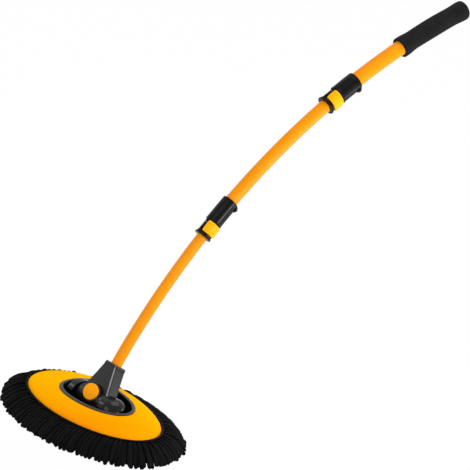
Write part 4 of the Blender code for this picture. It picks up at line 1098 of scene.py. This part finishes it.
def lock_collar(sleeve, run, start, inner_end):
    """End flange of a lock in (radius, station): a flat lip, a short slope and a narrower collar."""
    lip = sleeve + FLANGE_LIP
    collar, slope = lip - FLANGE_DROP, start + FLANGE_FLAT
    corners = [(run, start), (lip, start), (lip, slope), (collar, slope + FLANGE_SLOPE)]
    corners += [(collar, inner_end), (run, inner_end)]
    return rounded(corners, np.array([0.3, 0.9, 0.7, 0.5, 0.5, 0.2]) * MM, 5)


def lock_barrel(sleeve, run, outer, shoulder, end):
    """Sleeve of a lock in (radius, station): a bead at its shoulder, a step inside for the thicker tube."""
    grip, seat = outer + SEAT_GAP, shoulder + SHOULDER
    bead, bead_end = sleeve + BEAD_RISE, shoulder + BEAD_LENGTH
    corners = [(bead, shoulder), (bead, bead_end), (sleeve, bead_end + BEAD_SLOPE)]
    corners += [(sleeve, end), (grip, end), (grip, seat), (run, seat), (run, shoulder)]
    return pole_ring_path(rounded(corners, np.array([0.5, 0.3, 0.3, 0.9, 0.3, 0.1, 0.1, 0.2]) * MM, 4))


def lock_sleeve(name, inner, outer, start, length, body, look, replaced):
    """Sleeve, end flange, back wall, pin ears and screw boss of one lock."""
    run, sleeve = inner + RUN_GAP, outer + LOCK_WALL
    window = start + FLANGE_LENGTH
    shoulder = window + WINDOW_LENGTH
    end, inner_end = shoulder + length, start + COLLAR_LENGTH
    surface = Surface()
    surface.add(on_pole(turned(lock_barrel(sleeve, run, outer, shoulder, end), 80)), closed=True)
    surface.add(on_pole(turned(lock_collar(sleeve, run, start, inner_end), 80)), closed=True)
    pin = outer_pin(inner)
    first = PIN_ANGLE + (LEVER_THICKNESS / 2 + EAR_ROOM) / pin
    last = TIP_ANGLE - EAR_ROOM / pin + TURN
    waist = sleeve - WAIST_DEPTH
    surface.add(on_pole(lock_back(run, waist, window - SEAT_GAP, shoulder + SEAT_GAP, first, last)))
    centre = polar(pin, PIN_ANGLE)
    for low, high in ((start + SEAT_GAP, inner_end + EAR_REACH), (shoulder - EAR_REACH, shoulder + EAR_ROOT)):
        corners = [(ON_AXIS, low), (EAR_RADIUS, low), (EAR_RADIUS, high), (ON_AXIS, high)]
        surface.add(on_pole(turned(rounded(corners, 0.6 * MM, 4, closed=False), 32, centre)))
    base, top = sleeve - BOSS_FOOT, sleeve + BOSS_HEIGHT
    corners = [(ON_AXIS, base), (BOSS_RADIUS, base), (BOSS_RADIUS, top), (ON_AXIS, top)]
    surface.add(radial(turned(rounded(corners, 0.8 * MM, 5, closed=False), 40), end - BOSS_INSET))
    return surface.make(name, [look["sleeve"]], body, "lock_plastic", [replaced])


def outer_pin(inner):
    """Distance of the lever's pin from the pole's middle."""
    return inner + SHOE_STACK + LEVER_THICKNESS / 2


def bulge(share):
    """Quarter ellipse: steep from 0 at a share of 0, and level at 1 from a share of 1 on."""
    return np.sqrt(1 - (1 - np.clip(share, 0, 1)) ** 2)


def lock_lever(name, inner, start, body, look, replaced):
    """Lever: a rounded flat section carried round the pole from the pin to the tip, which flares outwards.

    It is a narrow tongue between the ears at the pin, and its shoulders and corners are quarter ellipses.
    Its knuckle on the pin has the sleeve's finish.
    """
    low = start + COLLAR_LENGTH + RUN_GAP
    high = start + FLANGE_LENGTH + WINDOW_LENGTH - LEVER_SETBACK
    middle, half = (low + high) / 2, (high - low) / 2
    pin = outer_pin(inner)
    eye = LEVER_THICKNESS / 2 / pin
    end = PIN_ANGLE + eye
    turn = (end + TIP_ANGLE) / 2 + (end - TIP_ANGLE) / 2 * np.cos(np.linspace(0, math.pi, 72))
    from_tip = (turn - TIP_ANGLE) * pin
    thick = LEVER_THICKNESS / 2 * bulge((end - turn) / eye) * bulge(from_tip / LEVER_TIP)
    shoulder = ((PIN_ANGLE - turn) * pin - EAR_RADIUS - LEVER_EAR_GAP) / LEVER_SHOULDER
    full = half - LEVER_CORNER * (1 - bulge(from_tip / LEVER_CORNER))
    wide = TONGUE_HALF_WIDTH + (full - TONGUE_HALF_WIDTH) * bulge(shoulder)
    flare = np.clip(1 - (turn - TIP_ANGLE) / LEVER_LIP_ANGLE, 0, 1)
    path = pin + LEVER_LIP * flare**LEVER_LIP_POWER
    around = turns(48)
    along = signed_power(np.cos(around), LEVER_SIDE_POWER)
    out = signed_power(np.sin(around), LEVER_FACE_POWER)
    crown = LEVER_CROWN * (1 - along**2) * (out > 0)
    radius = path[:, None] + thick[:, None] * out + crown * (thick[:, None] > 0)
    station = middle + wide[:, None] * along
    grid = np.concatenate([polar(radius, turn[:, None]), station[..., None]], -1)
    knuckle = int(np.argmax(shoulder > KNUCKLE_SHARE))
    surface = Surface().add(on_pole(grid[knuckle:]))
    surface.add(on_pole(grid[: knuckle + 1]), finish=1)
    return surface.make(name, [look["lever"], look["sleeve"]], body, "lever_plastic", [replaced], angle=50)


def lock_screw(name, outer, end, body, look, replaced):
    """Screw in the boss: a low domed head with a round recess, on its shank."""
    foot, seat = outer + SEAT_GAP, outer + LOCK_WALL + BOSS_HEIGHT + SEAT_GAP
    side, top, recess = seat + SCREW_SIDE_HEIGHT, seat + SCREW_TOP_HEIGHT, seat + RECESS_HEIGHT
    corners = [(ON_AXIS, foot), (SCREW_SHANK, foot), (SCREW_SHANK, seat), (SCREW_HEAD, seat)]
    corners += [(SCREW_HEAD, side), (SCREW_TOP, top), (RECESS_TOP, top), (RECESS_FLOOR, recess)]
    corners += [(ON_AXIS, recess)]
    path = rounded(corners, 0.25 * MM, 3, closed=False)
    surface = Surface().add(radial(turned(path, 40), end - BOSS_INSET))
    return surface.make(name, [look["sleeve"]], body, "lock_plastic", [replaced])


class BuildLocks(bpy.types.Operator):
    """Build both flip locks with their levers and screws"""

    bl_idname = "wash_brush.locks"
    bl_label = "Flip Locks"

    def execute(self, context):
        look = finishes(context)
        rows = (
            ("lower", LOWER_RADIUS, MIDDLE_RADIUS, LOWER_LOCK_START, LOWER_SLEEVE, "middle_pole"),
            ("upper", MIDDLE_RADIUS, UPPER_RADIUS, UPPER_LOCK_START, UPPER_SLEEVE, "upper_pole"),
        )
        for name, inner, outer, start, length, body in rows:
            end = start + FLANGE_LENGTH + WINDOW_LENGTH + length
            lock_sleeve(f"{name}_lock_sleeve", inner, outer, start, length, body, look, f"{name}_lock_body")
            lock_lever(f"{name}_flip_lever", inner, start, f"{name}_lever", look, f"{name}_lock_lever")
            lock_screw(f"{name}_boss_screw", outer, end, body, look, f"{name}_lock_screw")
        return {"FINISHED"}


class BuildGrip(bpy.types.Operator):
    """Build the foam grip with its thicker cuff, its swell and its flared round end"""

    bl_idname = "wash_brush.grip"
    bl_label = "Foam Grip"

    def execute(self, context):
        sizes, look = context.scene.brush_sizes, finishes(context)
        bore = UPPER_RADIUS + SEAT_GAP
        outside = bore + sizes.grip_wall
        cuff, swell, flare = outside + GRIP_CUFF, outside + GRIP_SWELL, outside + GRIP_FLARE
        corners = [(ON_AXIS, GRIP_FLOOR), (bore, GRIP_FLOOR), (bore, GRIP_START), (cuff, GRIP_START)]
        corners += [(cuff, GRIP_START + CUFF_LENGTH), (outside, GRIP_START + CUFF_FOOT)]
        corners += [(swell, GRIP_START + SWELL_PLACE), (outside, GRIP_END - WAIST_PLACE)]
        corners += [(flare, GRIP_END - FLARE_PLACE), (flare, GRIP_END), (ON_AXIS, GRIP_END)]
        radii = np.array([0, 0.5, 0.5, 1.2, 4.0, 6.0, 18.0, 6.0, 5.0, 7.0, 0]) * MM
        path = spread(rounded(corners, radii, 8, closed=False), 6 * MM)
        surface = Surface().add(on_pole(turned(path, 80)))
        grip = surface.make("grip_sleeve", [look["grip"]], "upper_pole", "grip_foam", ["foam_grip"])
        return {"FINISHED"}


# Cover


def oval_places(half_length, half_width, count, phase=0.0):
    """Angles that are evenly spaced by length round an oval: its summed length, read backwards."""
    fine = np.linspace(0, TURN, 4001)
    speed = np.hypot(half_length * np.sin(fine), half_width * np.cos(fine))
    length = np.concatenate([[0], np.cumsum((speed[1:] + speed[:-1]) / 2)])
    share = (np.arange(count) + phase) / count % 1.0
    return np.interp(share * length[-1], length, fine)


def finger_shares(rings, cap):
    """How far along a finger its rings lie, and each one's share of its radius: root, body and a round cap.

    The body's radius grows from 0.72 of the full one, as a quarter sine, and the cap is a quarter circle.
    """
    over = np.radians([30.0, 55.0, 75.0, 90.0])
    body = np.linspace(0, 1 - cap, rings)
    share = np.concatenate([[0.0], body, 1 - cap + cap * np.sin(over)])
    swell = 0.72 + 0.28 * np.sin(np.minimum(body * 1.6, 1) * math.pi / 2)
    return share, np.concatenate([[0.0], swell, np.cos(over)])


def fingers(random, control, width, rings=6, cap=0.09, sides=8, flat=0.86):
    """Chenille fingers: each a lumpy round section carried along a cubic curve with four control points.

    Returns one grid of (finger, ring, side) points and how far along each ring lies.
    """
    t, shape = finger_shares(rings, cap)
    c0, c1, c2, c3 = (control[:, None, i] for i in range(4))
    s = t[None, :, None]
    centre = (1 - s) ** 3 * c0 + 3 * s * (1 - s) ** 2 * c1 + 3 * s**2 * (1 - s) * c2 + s**3 * c3
    ahead = unit(3 * (1 - s) ** 2 * (c1 - c0) + 6 * s * (1 - s) * (c2 - c1) + 3 * s**2 * (c3 - c2))
    side = unit(np.cross(ahead, [0, 0, 1.0]) + 1e-6)
    over = np.cross(side, ahead)
    radius = width[:, None] / 2 * shape[None, :] * (1 + random.normal(0, 0.04, (len(width), len(t))))
    angle = (turns(sides) + random.uniform(0, 1))[None, None, :, None]
    lumps = 1 + random.normal(0, 0.05, (len(width), len(t), sides, 1))
    around = (np.cos(angle) * side[:, :, None] + flat * np.sin(angle) * over[:, :, None]) * lumps
    return centre[:, :, None] + radius[:, :, None, None] * around, t


def finger_surface(grid, depth, tone):
    """One surface from the grids of many fingers, without a face between them."""
    count, rings, sides = grid.shape[:3]
    faces, uv = grid_faces(rings, sides, True, False)
    surface = Surface()
    surface.points.append(grid.reshape(-1, 3))
    surface.faces.append((faces[None] + (np.arange(count) * rings * sides)[:, None, None]).reshape(-1, 4))
    surface.uvs.append(np.tile(uv, (count, 1)))
    surface.finishes.append(np.zeros(count * len(faces), int))
    surface.values["depth"] = [np.broadcast_to(depth, grid.shape[:3]).reshape(-1)]
    surface.values["tone"] = [np.broadcast_to(tone[:, None, None], grid.shape[:3]).reshape(-1)]
    surface.count = count * rings * sides
    return surface


def cover_outline(sizes):
    """Half length and half width of the cover's outside, from which the fingers grow."""
    offset = SEAT_GAP + SKIN_THICKNESS
    return sizes.shell_half_length + offset, sizes.shell_half_width + offset


def fringe_row(sizes, random, count, root_height, reach, tip_height, lift, phase):
    """Control points of one row of fingers: out of the skin, over a soft bend, down to the tips in clumps."""
    half_length, half_width = cover_outline(sizes)
    angle = oval_places(half_length, half_width, count, phase) + random.normal(0, 0.1, count) / count
    edge = np.stack([half_length * np.cos(angle), half_width * np.sin(angle)], -1)
    out = unit(np.stack([np.cos(angle) / half_length, np.sin(angle) / half_width], -1))
    along = np.stack([-out[:, 1], out[:, 0]], -1)
    clump = np.sin(np.arange(count) * 1.9 + phase * 7) + random.normal(0, 0.5, count)
    sway = 0.17 * FRINGE_AROUND / count * clump
    length = reach * (1 + random.normal(0, 0.035, count))
    drop = root_height - tip_height + random.normal(0, 0.9 * MM, count)
    heights = root_height + random.normal(0, 0.5 * MM, count)

    def at(share, sideways, height):
        flat = edge + out * (length * share)[:, None] + along * (sway * sideways)[:, None]
        return np.concatenate([flat, height[:, None]], -1)

    tips = np.maximum(heights - drop, FRINGE_TIP)
    bend = heights - 0.45 * (heights - tips)
    root = at(-FRINGE_ROOT / reach, 0.0 * sway, heights)
    return np.stack([root, at(0.36, 0.15, heights + lift), at(0.74, 0.8, bend), at(1.0, 1.1, tips)], 1)


class BuildFringe(bpy.types.Operator):
    """Build the rows of chenille fingers round the head"""

    bl_idname = "wash_brush.fringe"
    bl_label = "Chenille Fringe"

    def execute(self, context):
        sizes, look = context.scene.brush_sizes, finishes(context)
        random = np.random.default_rng(FRINGE_SEED)
        grids, painted_shades, tones = [], [], []
        for number, (fewer, *row) in enumerate(FRINGE_ROWS):
            count = sizes.strand_count - fewer
            control = fringe_row(sizes, random, count, *row)
            width = sizes.strand_width * random.uniform(0.85, 1.12, count)
            grid, t = fingers(random, control, width)
            # Painted shade: darker towards the root and in each lower row
            shade = np.clip(0.85 - 1.1 * t, 0, 1) + 0.22 * number
            grids.append(grid)
            painted_shades.append(np.broadcast_to(shade[None, :, None], grid.shape[:3]))
            tones.append(random.uniform(0, 1, count))
        surface = finger_surface(np.concatenate(grids), np.concatenate(painted_shades), np.concatenate(tones))
        surface.make("fringe_fingers", [look["chenille"]], "head", "chenille", ["chenille_fringe"], angle=80)
        return {"FINISHED"}


def sole_places(sizes):
    """Places of the sole's fingers: a field of even triangles, cut off inside the cover's outline."""
    half_length, half_width = cover_outline(sizes)
    column, row = np.meshgrid(np.arange(-20, 21), np.arange(-12, 13))
    x = (column + 0.5 * (row % 2)) * sizes.sole_pitch
    y = row * sizes.sole_pitch * math.sqrt(0.75)
    inside = (x / (half_length - SOLE_EDGE)) ** 2 + (y / (half_width - SOLE_EDGE)) ** 2 < 1
    return np.stack([x[inside], y[inside]], -1)


def oval_slab(half_length, half_width, path):
    """Closed oval slab: each point of the path is a share of both half sizes, and a height."""
    share, height = path.T
    return ovals(half_length * share + ON_AXIS, half_width * share + ON_AXIS, height, 128)


def slab_path(low, high):
    """Path of a slab from its middle below, out round its edge, to its middle above."""
    return np.array([(ON_AXIS, low), (1.0, low), (1.0, high), (ON_AXIS, high)])


class BuildSole(bpy.types.Operator):
    """Build the chenille sole: a backing and a field of hanging fingers"""

    bl_idname = "wash_brush.sole"
    bl_label = "Chenille Sole"

    def execute(self, context):
        sizes, look = context.scene.brush_sizes, finishes(context)
        random = np.random.default_rng(SOLE_SEED)
        root = sole_places(sizes)
        count = len(root)
        lean = random.normal(0, 1.2 * MM, (count, 2)) + root * SOLE_LEAN
        tip = 0.3 * MM + random.uniform(0, 1.6 * MM, count)
        top = BACKING_TOP - SOLE_ROOT + 0 * tip

        def at(sideways, down):
            return np.concatenate([root + lean * sideways, (top + (tip - top) * down)[:, None]], -1)

        control = np.stack([at(0, 0), at(0.2, 0.3), at(0.7, 0.65), at(1.2, 1)], 1)
        width = sizes.sole_pitch * 0.98 * random.uniform(0.88, 1.02, count)
        grid, t = fingers(random, control, width, rings=4, cap=0.28, flat=0.96)
        # Painted shade: darker towards the root at the backing
        shade = np.broadcast_to(np.clip(1.1 - 1.2 * t, 0, 1)[None, :, None], grid.shape[:3])
        surface = finger_surface(grid, shade, random.uniform(0, 1, count))
        path = slab_path(BACKING_BOTTOM, BACKING_TOP)
        inset = np.interp(path[:, 1], [BACKING_BOTTOM, BACKING_TOP], [0.6 * MM, 0.5 * MM])
        half_length, half_width = cover_outline(sizes)
        # The backing is painted fully in shade
        surface.add(oval_slab(half_length - inset, half_width - inset, path), depth=1.0, tone=0.5)
        surface.make("sole_fingers", [look["chenille"]], "head", "chenille", ["chenille_pad"], angle=80)
        return {"FINISHED"}


def skin_band(sizes, look):
    """Knitted wall of the cover: an oval band that swells, as a half sine, between the sole and the hem."""
    half_length, half_width = sizes.shell_half_length, sizes.shell_half_width
    share = np.linspace(0, 1, 12)
    swell = np.sin(math.pi * share)
    height = SKIN_BOTTOM + (SKIN_TOP + SEAT_GAP - SKIN_BOTTOM) * share
    out = SEAT_GAP + SKIN_OFFSET + SKIN_SWELL * swell
    wave = SKIN_WAVE * np.sin(turns(240) * SKIN_WAVES)[None, :] * swell[:, None]
    outer = ovals(half_length + out, half_width + out, height, 240)
    outer[..., :2] *= 1 + wave[..., None] / half_width
    back = out - SKIN_KNIT
    inner = ovals(half_length + back, half_width + back, height, 240)
    surface = Surface().add(np.concatenate([outer, inner[::-1]]), closed=True)
    return surface.make("cover_skin", [look["hem"]], "head", "chenille")


def gathered_hem(sizes, look):
    """Elastic hem: an oval tube whose section swells and shrinks with the gathers, as a sine."""
    angle, turn = turns(1200)[None, :], turns(14)[:, None]
    gather = 0.5 + 0.5 * np.sin(angle * sizes.gather_count + 1.1 * np.sin(angle * 9))
    wide, high = HEM_WIDE + HEM_GATHER * gather, HEM_HIGH + HEM_GATHER * gather
    out = SEAT_GAP + HEM_OFFSET + wide * np.cos(turn)
    x = (sizes.shell_half_length + out) * np.cos(angle)
    y = (sizes.shell_half_width + out) * np.sin(angle)
    z = HEM_MIDDLE + high * np.sin(turn)
    surface = Surface().add(np.stack(np.broadcast_arrays(x, y, z), -1), closed=True)
    return surface.make("elastic_hem", [look["hem"]], "head", "hem", ["cover_hem"])


def foam_layer(sizes, look):
    """Foam between sole and plate: an oval slab that thins a little at its edge."""
    inset = SEAT_GAP + 0.2 * MM
    path = spread(slab_path(FOAM_BOTTOM, FOAM_TOP), 0.12)
    edge = np.clip((path[:, 0] - 0.97) / 0.03, 0, 1)
    middle = (FOAM_BOTTOM + FOAM_TOP) / 2
    path[:, 1] = middle + (path[:, 1] - middle) * np.sqrt(1 - 0.5 * edge**2)
    surface = Surface().add(oval_slab(sizes.shell_half_length - inset, sizes.shell_half_width - inset, path))
    return surface.make("foam_layer", [look["foam"]], "head", "foam", ["foam_core"])


class BuildCover(bpy.types.Operator):
    """Build the cover's knitted skin, its elastic hem and the foam inside"""

    bl_idname = "wash_brush.cover"
    bl_label = "Cover and Foam"

    def execute(self, context):
        sizes, look = context.scene.brush_sizes, finishes(context)
        skin = skin_band(sizes, look)
        hem = gathered_hem(sizes, look)
        foam_layer(sizes, look)
        return {"FINISHED"}


class FinishHardware(bpy.types.Operator):
    """Give the screws, pins, bushes, guides and the plate of the frame their finishes"""

    bl_idname = "wash_brush.hardware"
    bl_label = "Hardware Finishes"

    def execute(self, context):
        look = finishes(context)
        kinds = {
            "steel": ["hinge_pin", "neck_screw", "button_spring", "lower_lock_pin", "upper_lock_pin"]
            + [f"plate_screw_{number}" for number in range(1, 5)],
            "nylon": ["hinge_bush_left", "hinge_bush_right", "lower_guide", "middle_guide"],
            "plate": ["head_plate", "grip_plug", "lower_lock_shoe", "upper_lock_shoe"],
        }
        for kind, names in kinds.items():
            for name in names:
                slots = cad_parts[name].material_slots
                if not slots:
                    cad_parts[name].data.materials.append(look[kind])
                for entry in slots:
                    entry.material = look[kind]
        return {"FINISHED"}


OPERATORS = (
    BuildStage,
    BuildShell,
    BuildHinge,
    BuildNeck,
    BuildButton,
    BuildTubes,
    BuildLocks,
    BuildGrip,
    BuildFringe,
    BuildSole,
    BuildCover,
    FinishHardware,
)


class BrushPanel(bpy.types.Panel):
    """Steps that build the brush, in order, with its sizes and colours"""

    bl_idname = "VIEW3D_PT_wash_brush"
    bl_label = "Car Wash Brush"
    bl_space_type = "VIEW_3D"
    bl_region_type = "UI"
    bl_category = "Wash Brush"

    def draw(self, context):
        for step in OPERATORS:
            self.layout.operator(step.bl_idname)
        for group in (context.scene.brush_sizes, context.scene.brush_colours):
            box = self.layout.box()
            for name in group.__annotations__:
                box.prop(group, name)


CLASSES = (BrushSizes, BrushColours, *OPERATORS, BrushPanel)


def register():
    for item in CLASSES:
        bpy.utils.register_class(item)
    bpy.types.Scene.brush_sizes = PointerProperty(type=BrushSizes)
    bpy.types.Scene.brush_colours = PointerProperty(type=BrushColours)


def unregister():
    del bpy.types.Scene.brush_colours
    del bpy.types.Scene.brush_sizes
    for item in reversed(CLASSES):
        bpy.utils.unregister_class(item)


def main():
    register()
    for step in OPERATORS:
        group, name = step.bl_idname.split(".")
        getattr(getattr(bpy.ops, group), name)()


if __name__ == "__main__":
    main()
